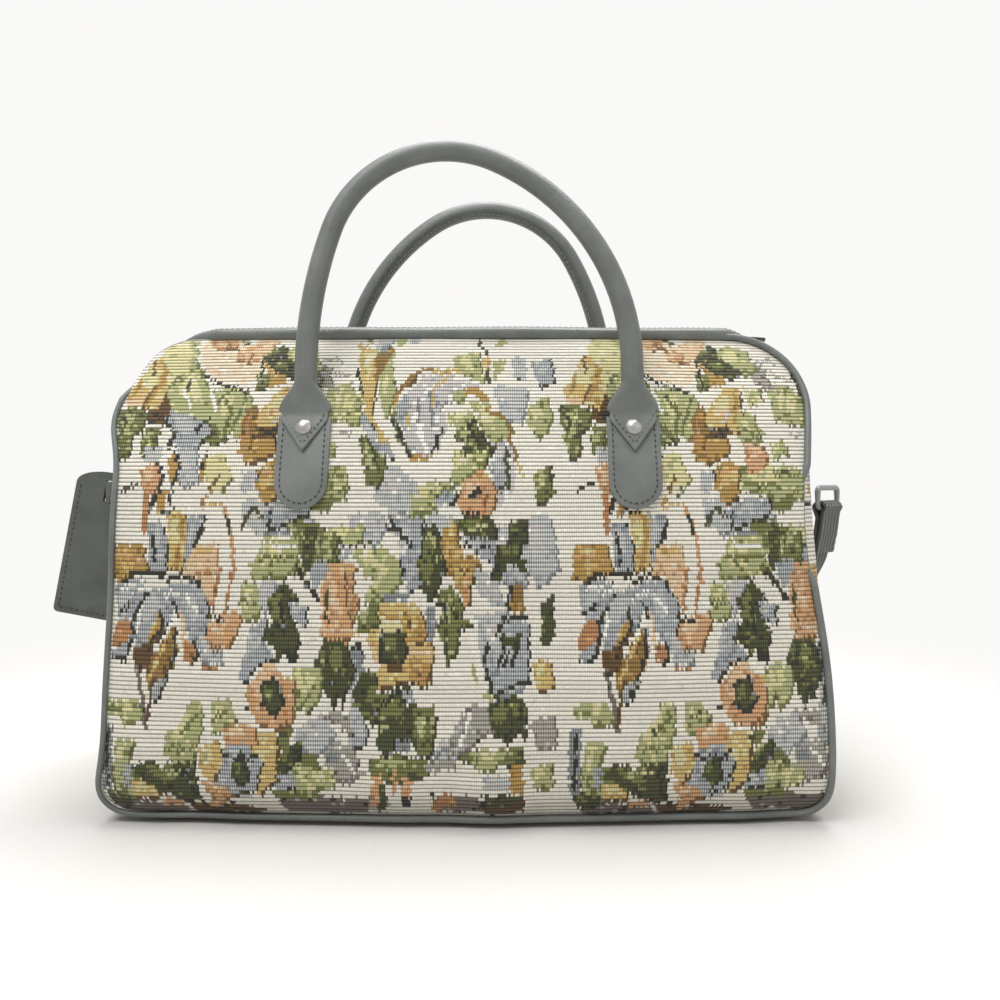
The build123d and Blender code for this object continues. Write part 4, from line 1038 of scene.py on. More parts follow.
def gussetLine(run):
    # point and outward direction at a distance down the outline, from the zip's end to the base
    run = np.asarray(run, float)
    arc = shoulderRadius * math.pi / 2
    drop = seamTop - seamBase - shoulderRadius - footRadius
    turn = np.clip(run, 0, arc) / shoulderRadius
    fall = np.clip(run - arc, 0, drop)
    foot = np.clip(run - arc - drop, 0, None) / footRadius
    angle = turn + foot
    x = flatHalf + shoulderRadius * np.sin(turn) - footRadius * (1 - np.cos(foot))
    z = seamTop - shoulderRadius * (1 - np.cos(turn)) - fall - footRadius * np.sin(foot)
    return x, z, np.sin(angle), np.cos(angle)


def gussetBulge(side, z):
    # how far the slack gusset stands out from its seams
    rise, height, spread, _ = gussetCloth["right" if side > 0 else "left"]
    return gussetCloth["rest"] + rise * np.exp(-((z - height) / spread) ** 2)


def gussetPiece(name, node, side):
    rows = round(gussetLength / bagShape["rib"])
    kept = {}

    def place(u, v):
        run = (1 - v) / 2 * gussetLength
        x, z, outX, outZ = gussetLine(run)
        x, z = softShoulder(side, x, z)
        depth = -panelFace(x * side, z) - gussetCloth["inset"]
        fade = np.clip(run / gussetCloth["fade"], 0, 1) ** 1.5
        edge = gussetCloth["edgeRise"]
        swell = (edge + (gussetBulge(side, z) - edge) * fade) * (1 - np.abs(u) ** 16)
        crease = gussetCloth["crease"] * np.sin(z / gussetCloth["creaseLength"] + 2 * u) * (1 - u ** 2) * fade
        lift = swell + crease - gussetCloth["inset"]
        kept["across"] = u * depth
        kept["along"] = gussetLength - run
        return (side * (x + outX * lift), u * depth, z + outZ * lift)

    piece = gridPiece(name, gussetCloth["columns"], rows, place, turn=side < 0)
    weaveCloth(piece, kept["across"] * side + gussetCloth["right" if side > 0 else "left"][3], kept["along"])
    return dress(piece, tapestry, "bag", [node])


gussetPiece("rightGussetCloth", "right_gusset", 1)
gussetPiece("leftGussetCloth", "left_gusset", -1)


basePanel = {"columns": 150, "rows": 76, "low": 0.4, "edgeRise": 5.4, "inset": 1.0, "shift": 60.0}


def basePiece():
    kept = {}

    def place(u, v):
        x = u * (halfWidth - footRadius)
        depth = -panelFace(x, np.full_like(x, seamBase)) - basePanel["inset"]
        rise = basePanel["edgeRise"] * np.maximum(np.abs(u) ** 24, np.abs(v) ** 16)
        kept["across"], kept["along"] = x, v * depth
        return (x, v * depth, basePanel["low"] + rise)

    piece = gridPiece("baseCloth", basePanel["columns"], basePanel["rows"], place, turn=True)
    weaveCloth(piece, kept["across"], kept["along"] + basePanel["shift"])
    return dress(piece, tapestry, "bag", ["base_panel"])


basePiece()
print("tapestry pieces made")

# welt piping round both broad panels

piping = {"radius": 2.0, "offset": 1.3, "proud": 0.5, "start": 150.0, "sunk": 2.6,
          "leftHidden": (240.0, 290.0), "rightHidden": (134.0, 200.0), "fade": 8.0,
          "tucked": 0.8, "inside": 1.2, "leftShare": 0.78, "leftReach": 190.0}


def pipingPath(side):
    spots = []
    for x in np.linspace(piping["start"], flatHalf, 3)[:-1]:
        spots.append((x, seamTop + 0.4, 0.0, 1.0))
    for run in np.linspace(0, gussetLength, 170):
        x, z, outX, outZ = (float(k) for k in gussetLine(run))
        x, z = (float(k) for k in softShoulder(side, x, z))
        spots.append((x, z, outX, outZ))
    for x in np.linspace(halfWidth - footRadius, 0, 60)[1:]:
        spots.append((x, seamBase, 0.0, -1.0))
    return spots


def pipingPiece(name, node, back):
    # between its hidden heights the slack cloth folds over the welt
    spots, radii = [], []
    for side, (low, high) in ((1, piping["rightHidden"]), (-1, piping["leftHidden"])):
        path = pipingPath(side)
        for x, z, outX, outZ in (path if side > 0 else path[-2::-1]):
            hidden = min(max(min(z - low, high - z) / piping["fade"], 0), 1)
            y = float(panelFace(side * (x - outX * piping["inside"]), z - outZ * piping["inside"]))
            y += piping["sunk"] * hidden - piping["proud"] * (1 - hidden)
            out = piping["offset"] * (1 - hidden) - piping["tucked"] * hidden
            spots.append((side * (x + outX * out), -y if back else y, z + outZ * out))
            radii.append(1 + (piping["leftShare"] - 1) * min(max(-side * x / piping["leftReach"], 0), 1))
    piece = tubePiece(name, spots, piping["radius"], radii=radii, sides=10)
    return dress(piece, greyVinyl, "bag", [node])


pipingPiece("frontWelt", "front_piping", False)
pipingPiece("backWelt", "back_piping", True)
print("piping made")

# zip top: bands, end tabs, teeth

zipBand = {
    "section": ((-39.8, 277.4), (-41.8, 279.0), (-42.6, 281.2), (-41.6, 283.4), (-38.5, 285.0), (-31.0, 286.0),
                (-21.0, 286.2), (-15.0, 285.4), (-12.6, 284.0), (-12.1, 281.2)),
    "overlap": 24.0, "narrowing": 0.62, "lowering": 0.35, "thick": 1.2, "rows": 120, "columns": 30,
    "zipEdge": 12.0, "seamEdge": 42.0, "ripple": 0.25, "rippleLength": 19.0,
    "stitchRows": ((0.16, 6.0), (0.30, 6.0), (0.87, 24.0)),  # share of its width, distance from its ends
}


def smoothSection(section, count):
    runs = pathRuns(section)
    stops = np.linspace(0, runs[-1], count)
    rows = np.column_stack([np.interp(stops, runs, section[:, k]) for k in (0, 1)])
    for _ in range(3):
        rows[1:-1] = (rows[:-2] + 2 * rows[1:-1] + rows[2:]) / 4
    return rows


bandSection = smoothSection(np.array(zipBand["section"]), 40)
bandRuns = pathRuns(bandSection)


def bandSpot(share, run, back):
    # share 0 at the panel seam, 1 at the zip; run is the distance along the top from the middle
    share, run = np.asarray(share, float), np.asarray(run, float)
    y = np.interp(share * bandRuns[-1], bandRuns, bandSection[:, 0])
    z = np.interp(share * bandRuns[-1], bandRuns, bandSection[:, 1])
    over = np.clip(np.abs(run) - flatHalf, 0, None)
    turn = over / shoulderRadius
    x = np.sign(run) * (np.minimum(np.abs(run), flatHalf) + shoulderRadius * np.sin(turn))
    drop = shoulderRadius * (1 - np.cos(turn))
    inner, outer = zipBand["zipEdge"], zipBand["seamEdge"]
    reach = np.clip((-y - inner) / (outer - inner), 0, 1)
    crown = (crownAxis + outer) - np.sqrt((crownAxis + outer) ** 2 - np.minimum(np.abs(x), flatHalf) ** 2)
    narrow = 1 - zipBand["narrowing"] * (over / zipBand["overlap"]) ** 1.3
    low = 1 - zipBand["lowering"] * over / zipBand["overlap"]
    y = -inner + (y + inner) * narrow + crown * reach * narrow
    z = seamTop - drop + (z - seamTop) * low + zipBand["ripple"] * np.sin(x / zipBand["rippleLength"]) * reach
    outX, z = softShoulder(np.sign(x), np.abs(x), z)
    return np.sign(x) * outX, -y if back else y, z


def bandPiece(name, node, back):
    half = flatHalf + zipBand["overlap"]
    piece = gridPiece(name, zipBand["rows"], zipBand["columns"],
                      lambda u, v: bandSpot((v + 1) / 2, u * half, back), turn=back)
    modify(piece, "SOLIDIFY", thickness=zipBand["thick"] * mm, offset=-1)
    dress(piece, greyVinyl, "bag", [node])
    rows = []
    for share, short in zipBand["stitchRows"]:
        runs = np.linspace(short - half, half - short, 260)
        spots = np.column_stack(bandSpot(np.full_like(runs, share), runs, back))
        inner = np.column_stack(bandSpot(np.full_like(runs, share + 0.03), runs, back))
        along = np.gradient(spots, axis=0)
        normals = np.cross(along, inner - spots)
        rows.append(sewRow(name + "Row", spots, normals, pitch=3.4, length=2.5, thick=0.26))
    stitches = joinPieces(name + "Stitches", rows)
    return dress(stitches, greyThread, "bag")


bandPiece("frontZipBand", "zip_band_front", False)
bandPiece("backZipBand", "zip_band_back", True)

endTab = {"halfWidth": 12.6, "turn": 50.0, "lap": 5.0, "thick": 2.2, "radius": 46.6, "round": 0.72, "crown": 0.9,
          "stitchInset": 3.0, "stitchShort": 4.0}


def endTabPiece(name, node, side):
    def place(u, v):
        share = (v + 1) / 2
        angle = np.radians(-endTab["lap"] + share * (endTab["turn"] + endTab["lap"]))
        tip = np.clip((share - endTab["round"]) / (1 - endTab["round"]), 0, 1)
        wide = endTab["halfWidth"] * np.sqrt(np.clip(1 - tip ** 2, 0.0004, 1))
        radius = endTab["radius"] + endTab["crown"] * (1 - u ** 2) * (1 - tip)
        x = flatHalf + radius * np.sin(angle)
        x, z = softShoulder(side, x, seamTop - shoulderRadius + radius * np.cos(angle))
        return (side * x, u * wide, z)

    piece = gridPiece(name, 16, 26, place, turn=side > 0)
    modify(piece, "SOLIDIFY", thickness=endTab["thick"] * mm, offset=-1)
    softenEdges(piece, 0.5)
    dress(piece, greyVinyl, "bag", [node])
    spots, normals = [], []
    for t in np.linspace(0, 1, 80):
        # down one edge, round the tip and back
        share = 1 - abs(2 * t - 1)
        angle = math.radians(share * (endTab["turn"] - endTab["stitchShort"]))
        tip = min(max((share - 0.7) / 0.3, 0), 1)
        wide = (endTab["halfWidth"] - endTab["stitchInset"]) * math.sqrt(max(1 - tip ** 2, 0))
        wide *= 1 if t < 0.5 else -1
        radius = endTab["radius"] + 0.5
        x, z = softShoulder(side, flatHalf + radius * math.sin(angle),
                            seamTop - shoulderRadius + radius * math.cos(angle))
        spots.append((side * float(x), wide, float(z)))
        normals.append((side * math.sin(angle), 0, math.cos(angle)))
    row = sewRow(name + "Stitches", spots, normals, pitch=3.2, length=2.3, thick=0.4)
    return dress(row, greyThread, "bag")


endTabPiece("rightZipEnd", "zip_end_right", 1)
endTabPiece("leftZipEnd", "zip_end_left", -1)

zipTeeth = {"pitch": 1.56, "length": 2.3, "width": 1.0, "height": 2.1, "middle": 1.9, "low": 279.6}
deselectAll()
bpy.ops.mesh.primitive_cube_add(size=1)
modify(bpy.context.object, "BEVEL", width=0.22, segments=1)
tooth = takeShape(bpy.context.object)


def teethPiece(name, node, side):
    spots, faces = [], []
    size = (zipTeeth["width"], zipTeeth["length"], zipTeeth["height"])
    for i in range(int(2 * flatHalf / zipTeeth["pitch"]) - 1):
        x = -flatHalf + (i + 0.75 + 0.5 * (side > 0)) * zipTeeth["pitch"]
        base = len(spots)
        spots.extend(tooth[0] * size + (x, side * zipTeeth["middle"], zipTeeth["low"] + zipTeeth["height"] / 2))
        faces.extend(tuple(k + base for k in face) for face in tooth[1])
    piece = meshPiece(name, spots, faces)
    return dress(piece, zipNylon, "bag", [node])


teethPiece("frontTeeth", "zip_chain_front", -1)
teethPiece("backTeeth", "zip_chain_back", 1)
print("zip top made")

# rolled handles with flared ends and pointed tongues

handle = {
    "halfSpan": 93.5, "legHeight": 26.0, "rise": 128.0, "crownRadius": 70.0, "lean": 5.0,
    "foldDepth": -70.664, "foldHeight": 231.621, "legRadius": 6.5, "crownThick": 6.0,
    "flareHeight": 26.0, "flareHalf": 15.0, "flatHalf": 1.7, "tongueLength": 23.0, "tongueHalf": 13.4,
    "tongueThick": 0.95, "frontOffset": -14.0, "backOffset": 8.0, "sides": 32, "lift": 3.3, "seamAngle": -62.0,
    "groove": 0.13, "lap": 0.045, "bendLow": 2.5, "bendHigh": 6.0, "stitchInset": 2.4,
}


def archPath(offset):
    # across and height of the rolled part's centre line, left foot to right foot
    rise, crown, leg, half = handle["rise"], handle["crownRadius"], handle["legHeight"], handle["halfSpan"]
    top = leg + rise - crown

    def sideArc(reach):
        square = (rise - crown) ** 2 + reach ** 2 - crown ** 2
        radius = square / (2 * (reach - crown))
        return radius, math.acos((radius - reach) / (radius - crown))

    leftRadius, leftTurn = sideArc(half + offset)
    rightRadius, rightTurn = sideArc(half - offset)
    spots = []
    for a in np.linspace(0, leftTurn, 26):
        spots.append((-half + leftRadius * (1 - math.cos(a)), leg + leftRadius * math.sin(a)))
    for a in np.linspace(math.pi - leftTurn, rightTurn, 46)[1:]:
        spots.append((offset + crown * math.cos(a), top + crown * math.sin(a)))
    for a in np.linspace(rightTurn, 0, 26)[1:]:
        spots.append((half - rightRadius * (1 - math.cos(a)), leg + rightRadius * math.sin(a)))
    return spots


def tongueWidth(share):
    # half width of the tongue, share 0 at the fold and 1 at its point
    return handle["tongueHalf"] * min(1, (1 - share) * 1.28 + 0.03)


def handleSections(offset):
    # each: centre, direction across to the inside, direction outward, half width, half thickness, squareness
    lean = math.radians(handle["lean"])
    out = np.array([0, -math.cos(lean), math.sin(lean)])
    foldY, foldZ = handle["foldDepth"], handle["foldHeight"]

    def spot(across, height):
        return np.array([across, foldY + height * math.sin(lean), foldZ + height * math.cos(lean)])

    def foot(side):
        # from the tongue's point up over the fold to the top of the flare
        rows = []
        x = side * handle["halfSpan"]
        inward = np.array([-side, 0.0, 0.0])
        for t in np.linspace(1, 0, 14):
            fall = 1.0 + t * handle["tongueLength"]
            z = foldZ - fall
            normal = panelNormal(np.array(x), np.array(z))
            centre = np.array([x, float(panelFace(x, z)), z]) + normal * handle["lift"]
            near = min(fall / 7, 1)
            centre = centre * near + spot(x, -fall * 0.9) * (1 - near)
            normal = normal * near + out * (1 - near)
            thick = handle["tongueThick"] + (handle["flatHalf"] - handle["tongueThick"]) * (1 - near)
            rows.append((centre, inward, normal, tongueWidth(t), thick, 5.0))
        for t in np.linspace(0, 1, 14):
            height = t * handle["flareHeight"]
            turn = min(1.35 * t, 1)
            ease = turn ** 2 * (3 - 2 * turn)
            wide = handle["flareHalf"] + (handle["legRadius"] - handle["flareHalf"]) * min(1, ease * 1.08)
            thick = handle["flatHalf"] + (handle["legRadius"] - handle["flatHalf"]) * ease
            rows.append((spot(x, height), inward, out, wide, thick, 4 - 2 * ease))
        return rows

    arch = archPath(offset)
    middle = []
    total = len(arch)
    for i, (across, height) in enumerate(arch):
        heading = spot(*arch[min(i + 1, total - 1)]) - spot(*arch[max(i - 1, 0)])
        heading /= np.linalg.norm(heading)
        share = math.sin(math.pi * i / (total - 1)) ** 0.8
        radius = handle["legRadius"] + (handle["crownThick"] - handle["legRadius"]) * share
        middle.append((spot(across, height), np.cross(heading, out), out, radius, radius, 2.0))
    return foot(-1) + middle[1:-1] + foot(1)[::-1]


def handlePiece(name, nodes, body, offset, back):
    sections = handleSections(offset)
    sides = handle["sides"]
    angles = np.arange(sides) * 2 * math.pi / sides
    seamAngle = math.radians(handle["seamAngle"])
    flip = faceFlip(back)
    spots, faces = [], []
    for centre, inward, out, wide, thick, square in sections:
        power = 2 / square
        c = np.sign(np.cos(angles)) * np.abs(np.cos(angles)) ** power
        s = np.sign(np.sin(angles)) * np.abs(np.sin(angles)) ** power
        away = (angles - seamAngle + math.pi) % (2 * math.pi) - math.pi
        rolled = min(max((3.2 - square) / 1.2, 0), 1)
        # the seam's groove, and beside it the lap of the vinyl
        groove = handle["groove"] * np.exp(-(away / 0.12) ** 2) - handle["lap"] * np.exp(-((away + 0.34) / 0.2) ** 2)
        groove = 1 - rolled * groove
        spots.extend(centre + np.outer(c * wide * groove, inward) + np.outer(s * thick * groove, out))
    for i in range(len(sections) - 1):
        for k in range(sides):
            a, b = i * sides + k, i * sides + (k + 1) % sides
            faces.append((a, b, b + sides, a + sides))
    last = (len(sections) - 1) * sides
    faces.append(tuple(range(sides))[::-1])
    faces.append(tuple(last + k for k in range(sides)))
    if back:
        faces = [face[::-1] for face in faces]
    piece = meshPiece(name, np.array(spots) * flip, faces)
    weld(piece)
    piece.data.shade_smooth()
    dress(piece, greyVinyl, None, nodes)
    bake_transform(piece)
    # stitches along the rolled seam, and along both edges of each tongue
    path, normals = [], []
    for centre, inward, out, wide, thick, square in sections:
        if square > 2.05:
            continue
        angle = seamAngle + 0.2
        direction = inward * math.cos(angle) + out * math.sin(angle)
        path.append(centre + direction * wide)
        normals.append(direction)
    row = sewRow(name + "Seam", np.array(path) * flip, np.array(normals) * flip, pitch=3.6, length=2.6, thick=0.42)
    dress(row, greyThread, body)
    rows = []
    for side in (-1, 1):
        for edge in (-1, 1):
            line, ups = [], []
            for t in np.linspace(0, 1, 30):
                fall = 3 + t * (handle["tongueLength"] - 6)
                z = handle["foldHeight"] - fall
                half = tongueWidth(fall / handle["tongueLength"]) - handle["stitchInset"]
                x = side * handle["halfSpan"] + edge * max(half, 0.2)
                normal = panelNormal(np.array(x), np.array(z))
                line.append(np.array([x, float(panelFace(x, z)), z]) + normal * (handle["lift"] + 0.9))
                ups.append(normal)
            rows.append(sewRow(name + "TongueRow", np.array(line) * flip, np.array(ups) * flip,
                               pitch=2.9, length=2.0, thick=0.36))
    return dress(joinPieces(name + "TongueStitches", rows), darkThread, "bag")


handlePiece("frontHandle", ["front_handle_sleeve", "front_tongue_left", "front_tongue_right"],
            "front_handle", handle["frontOffset"], False)
handlePiece("backHandle", ["back_handle_sleeve", "back_tongue_left", "back_tongue_right"],
            "back_handle", handle["backOffset"], True)
print("handles made")

# tabs under the handles, and the rivets

tab = {"half": 15.0, "length": 52.0, "top": 227.6, "thick": 1.9, "seat": 0.3, "stitchInset": 3.0, "stitchLift": 0.35}


def tabOutline(inset, count):
    # down one side, round the foot and up the other, as offsets from the top middle
    half = tab["half"] - inset
    straight = tab["length"] - tab["half"]
    spots = [(-half, -inset - (straight - inset) * t) for t in np.linspace(0, 1, count)]
    spots += [(-half * math.cos(a), -straight - half * math.sin(a)) for a in np.linspace(0, math.pi, count)[1:-1]]
    spots += [(half, -inset - (straight - inset) * t) for t in np.linspace(1, 0, count)]
    return np.array(spots)


def tabPiece(name, node, side, back):
    flip = faceFlip(back)

    def place(u, v):
        fall = np.sin((1 - v) / 2 * math.pi / 2) * tab["length"]
        straight = tab["length"] - tab["half"]
        low = np.clip(fall - straight, 0, tab["half"])
        wide = np.sqrt(np.clip(tab["half"] ** 2 - low ** 2, 0.01, None))
        x = side * handle["halfSpan"] + u * wide
        z = tab["top"] - fall
        y = panelFace(x, z) - tab["seat"]
        return (x, y * flip[1], z)

    piece = gridPiece(name, 16, 40, place, turn=back)
    weld(piece)
    modify(piece, "SOLIDIFY", thickness=tab["thick"] * mm, offset=1)
    softenEdges(piece, 0.45)
    dress(piece, greyVinyl, "bag", [node])
    outline = tabOutline(tab["stitchInset"], 30)
    x = side * handle["halfSpan"] + outline[:, 0]
    z = tab["top"] + outline[:, 1]
    normals = panelNormal(x, z)
    spots = np.column_stack([x, panelFace(x, z), z]) + normals * (tab["thick"] + tab["stitchLift"])
    row = sewRow(name + "Stitches", spots * flip, normals * flip, pitch=3.3, length=2.4, thick=0.48)
    return dress(row, darkThread, "bag")


for face, back in (("front", False), ("back", True)):
    for place, side in (("left", -1), ("right", 1)):
        tabPiece(face + "Tab" + place.title(), face + "_tab_" + place, side, back)

rivet = {"radius": 4.8, "rim": 0.7, "dome": 2.0 / 1.55, "steps": ((0.5, 0.25), (1.1, 0.75), (1.2, 0.4), (1.0, 0.15)),
         "height": 221.0, "seat": 4.0}


def rivetCap():
    # one domed cap, standing upright at the origin
    deselectAll()
    bpy.ops.mesh.primitive_cylinder_add(vertices=36, radius=rivet["radius"] * mm, depth=rivet["rim"] * 2 * mm)
    cap = bpy.context.object
    bpy.ops.object.mode_set(mode="EDIT")
    bpy.ops.mesh.select_mode(type="FACE")
    bpy.ops.mesh.select_all(action="DESELECT")
    bpy.ops.object.mode_set(mode="OBJECT")
    for polygon in cap.data.polygons:
        polygon.select = polygon.normal.z > 0.9
    bpy.ops.object.mode_set(mode="EDIT")
    for inset, lift in rivet["steps"]:
        bpy.ops.mesh.inset(thickness=inset * mm)
        bpy.ops.transform.translate(value=(0, 0, lift * rivet["dome"] * mm))
    bpy.ops.object.mode_set(mode="OBJECT")
    return cap


def rivetPiece():
    first = rivetCap()
    parts = []
    for back in (False, True):
        for side in (-1, 1):
            x, z = side * handle["halfSpan"], rivet["height"]
            normal = panelNormal(np.array(x), np.array(z))
            centre = np.array([x, float(panelFace(x, z)), z]) + normal * rivet["seat"]
            centre, normal = centre * faceFlip(back), normal * faceFlip(back)
            cap = first.copy()
            cap.data = first.data.copy()
            bpy.context.collection.objects.link(cap)
            cap.matrix_world = Vector(normal).to_track_quat("Z", "Y").to_matrix().to_4x4()
            cap.location = centre * mm
            pick(cap)
            bpy.ops.object.transform_apply(location=True, rotation=True, scale=True)
            parts.append(cap)
    bpy.data.objects.remove(first)
    piece = joinPieces("rivetCaps", parts)
    softenEdges(piece, 0.2, 40)
    return dress(piece, nickel, "bag", ["rivet_caps"])


rivetPiece()
print("tabs and rivets made")

# webbing straps and rectangular rings

strap = {"width": 24.5, "thick": 1.6, "footHeight": 66.0, "sewn": 18.0, "loopHeight": 174.0, "loopX": 230.9,
         "loopRadius": 3.0, "tailShare": 0.32, "tailRows": (2.2, 5.0), "footRows": (70.0, 82.0), "columns": 24,
         "ridge": 0.28, "right": (45.0, 0.0), "left": (0.0, 4.0)}  # right and left: twist and shift of strap and ring


def gussetSwell(side, z):
    # how far the gusset's cloth stands out at the middle, from the seam
    z = np.asarray(z, float)
    return seamWidth(np.full_like(z, side), z) + gussetBulge(side, z)


def strapPiece(name, node, side, twist, shift):
    # a flat band swept up from the gusset, round the ring's bar and down again as the doubled tail
    turn = math.radians(twist)
    line = []
    for t in np.linspace(0, 1, 6):
        z = strap["footHeight"] + t * strap["sewn"]
        line.append((float(gussetSwell(side, z)) + 1.0, z, 0.0))
    startX, startZ = line[-1][:2]
    endX, endZ = strap["loopX"] - 0.9, strap["loopHeight"] - 6
    for t in np.linspace(0, 1, 26)[1:]:
        ease = t * t * (3 - 2 * t)
        x = startX + (endX - startX) * (0.55 * t + 0.45 * math.sin(t * math.pi / 2)) + 1.6 * math.sin(t * math.pi)
        line.append((x, startZ + (endZ - startZ) * t, turn * min(1, 1.35 * ease)))
    sections = []
    for x, z, angle in line:
        out = np.array([math.cos(angle), -math.sin(angle), 0.0])
        wide = np.array([math.sin(angle), math.cos(angle), 0.0])
        sections.append((np.array([x, 0, z]), out, wide))
    upright = range(6, len(sections))
    loop = np.array([strap["loopX"], 0, strap["loopHeight"]])
    for a in np.linspace(math.pi, 0, 18):
        direction = out * math.cos(a) + np.array([0, 0, 1.0]) * math.sin(a)
        sections.append((loop + direction * strap["loopRadius"], direction, wide))
    tailLength = strap["tailShare"] * (strap["loopHeight"] - strap["footHeight"] - strap["sewn"])
    for t in np.linspace(0, 1, 16)[1:]:
        z = strap["loopHeight"] - t * tailLength
        centre, out, wide = min((sections[i] for i in upright), key=lambda s: abs(s[0][2] - z))
        gap = 1.9 + 1.2 * max(0, 1 - t * 6)
        sections.append((np.array([centre[0], centre[1], z]) + out * gap, out, wide))
    # ribbed cross section
    columns = strap["columns"]
    half = strap["width"] / 2
    offsets = np.linspace(-half, half, columns + 1)
    ridge = strap["ridge"] * np.abs(np.sin(offsets / half * math.pi * 3))
    centres, outs, wides = (np.array([s[k] for s in sections]) for k in range(3))
    runs = pathRuns(centres)
    kept = {}

    def place(u, v):
        row = np.rint((v + 1) / 2 * (len(sections) - 1)).astype(int)
        column = np.rint((u + 1) / 2 * columns).astype(int)
        kept["across"], kept["along"] = offsets[column], runs[row]
        spots = centres[row] + wides[row] * offsets[column][:, None] + outs[row] * ridge[column][:, None]
        return (side * spots[:, 0], spots[:, 1] + shift, spots[:, 2])

    piece = gridPiece(name, columns, len(sections) - 1, place, turn=side < 0)
    layFlat(piece, kept["across"], kept["along"], 1000)
    modify(piece, "SOLIDIFY", thickness=strap["thick"] * mm, offset=-1)
    dress(piece, webbing, "bag", [node])
    rows = []

    def sewAcross(middle, out, wide, inset):
        # a row of stitches from edge to edge of the band
        spots = [middle + wide * w for w in np.linspace(-half + inset, half - inset, 20)]
        mirrored = np.array((side, 1, 1))
        rows.append(sewRow(name + "Row", np.array(spots) * mirrored + (0, shift, 0),
                           np.tile(out * mirrored, (20, 1)), pitch=3.0, length=2.4, thick=0.4))

    for lift in strap["tailRows"]:
        sewAcross(centres[-1] + (0, 0, lift) + outs[-1] * 0.35, outs[-1], wides[-1], 1.0)
    for height in strap["footRows"]:
        sewAcross(np.array((float(gussetSwell(side, height)) + 2.0, 0, height)), outs[0], wides[0], 1.5)
    return dress(joinPieces(name + "Stitches", rows), greyThread, "bag")


strapPiece("rightWebbing", "right_strap", 1, *strap["right"])
strapPiece("leftWebbing", "left_strap", -1, *strap["left"])

ring = {"halfLong": 14.0, "rise": 13.0, "barRadius": 1.5, "corner": 3.0, "sideRadius": 1.25}


def ringPiece(name, node, body, side, twist, shift):
    turn = math.radians(twist)
    wide = np.array([math.sin(turn), math.cos(turn), 0.0])
    middle = np.array([strap["loopX"], 0, strap["loopHeight"]])
    spots, radii = [], []
    r = ring["corner"]
    corners = ((ring["halfLong"], ring["rise"], 0), (-ring["halfLong"], ring["rise"], 90),
               (-ring["halfLong"], 0, 180), (ring["halfLong"], 0, 270))
    for across, height, start in corners:
        cx = across - math.copysign(r, across)
        cz = height - (r if height > 0 else -r)
        for a in np.radians(np.linspace(start, start + 90, 7)):
            spots.append(middle + wide * (cx + r * math.cos(a)) + np.array([0, 0, cz + r * math.sin(a)]))
            radii.append(ring["sideRadius"] if height > 0 else 1.0)
    spots = [np.array((side * p[0], p[1] + shift, p[2])) for p in spots]
    piece = tubePiece(name, spots, ring["barRadius"], cyclic=True, radii=radii, sides=12)
    return dress(piece, ringPlastic, body, [node])


ringPiece("rightRing", "right_ring", "right_ring", 1, *strap["right"])
ringPiece("leftRing", "left_ring", "left_ring", -1, *strap["left"])
print("webbing and rings made")

# luggage tag and its strap

tag = {"width": 43.0, "length": 92.0, "topMargin": 12.0, "archRise": 9.0, "corner": 3.0, "layer": 1.5,
       "slotWide": 6.0, "slotHigh": 14.0, "slotX": -227.7, "slotY": -20.5, "slotZ": 184.7, "tilt": 10.5,
       "edge": 0.25, "sideCurl": 0.462, "endCurl": 0.000135, "stitchInset": 3.2}


def tagOutline(inset):
    half = tag["width"] / 2 - inset
    top = tag["topMargin"] - inset
    low = tag["topMargin"] - tag["length"] + inset
    shoulder = tag["topMargin"] - tag["archRise"] - inset
    r = max(tag["corner"] - inset, 0.6)
    spots = [(half * math.cos(a), shoulder + (top - shoulder) * math.sin(a)) for a in np.linspace(0, math.pi, 25)]
    for cx, start in ((-half + r, 180), (half - r, 270)):
        for a in np.radians(np.linspace(start, start + 90, 7)):
            spots.append((cx + r * math.cos(a), low + r + r * math.sin(a)))
    return spots


def tagSpot(x, z, depth):
    # tag outline point to the bag's frame: a slight curl, the tilt, then its place
    curl = tag["sideCurl"] * (2 * x / tag["width"]) ** 2 - tag["endCurl"] * (z + 40) ** 2
    a = math.radians(tag["tilt"])
    turnedX = x * math.cos(a) + z * math.sin(a)
    turnedZ = -x * math.sin(a) + z * math.cos(a)
    return (tag["slotX"] + turnedX, tag["slotY"] + depth + curl, tag["slotZ"] + turnedZ)


def tagPiece(name, node, depth, inset):
    deselectAll()
    curve = bpy.data.curves.new(name, "CURVE")
    curve.dimensions = "2D"
    curve.fill_mode = "BOTH"
    curve.extrude = (tag["layer"] / 2 - tag["edge"]) * mm
    curve.bevel_depth = tag["edge"] * mm
    curve.bevel_resolution = 2
    slotSpots = []
    w, h = tag["slotWide"] / 2 - 1, tag["slotHigh"] / 2 - 1  # to the centres of its 1 mm corners
    for cx, cz, start in ((w, h, 0), (-w, h, 90), (-w, -h, 180), (w, -h, 270)):
        for a in np.radians(np.linspace(start, start + 90, 5)):
            slotSpots.append((cx + math.cos(a), cz + math.sin(a)))
    for outline in (tagOutline(inset + tag["edge"]), slotSpots):
        spline = curve.splines.new("POLY")
        spline.points.add(len(outline) - 1)
        for point, spot in zip(spline.points, outline):
            point.co = (spot[0] * mm, spot[1] * mm, 0, 1)
        spline.use_cyclic_u = True
    piece = curveMesh(name, curve)
    for vertex in piece.data.vertices:
        x, z, through = (k / mm for k in vertex.co)
        vertex.co = Vector(tagSpot(x, z, depth + tag["layer"] / 2 + through)) * mm
    weld(piece, 0.00001)
    return dress(piece, tagVinyl, "tag", [node])


tagPiece("tagFront", "tag_cover", 0.0, 0.0)
tagPiece("tagBack", "tag_backing", tag["layer"], 0.3)


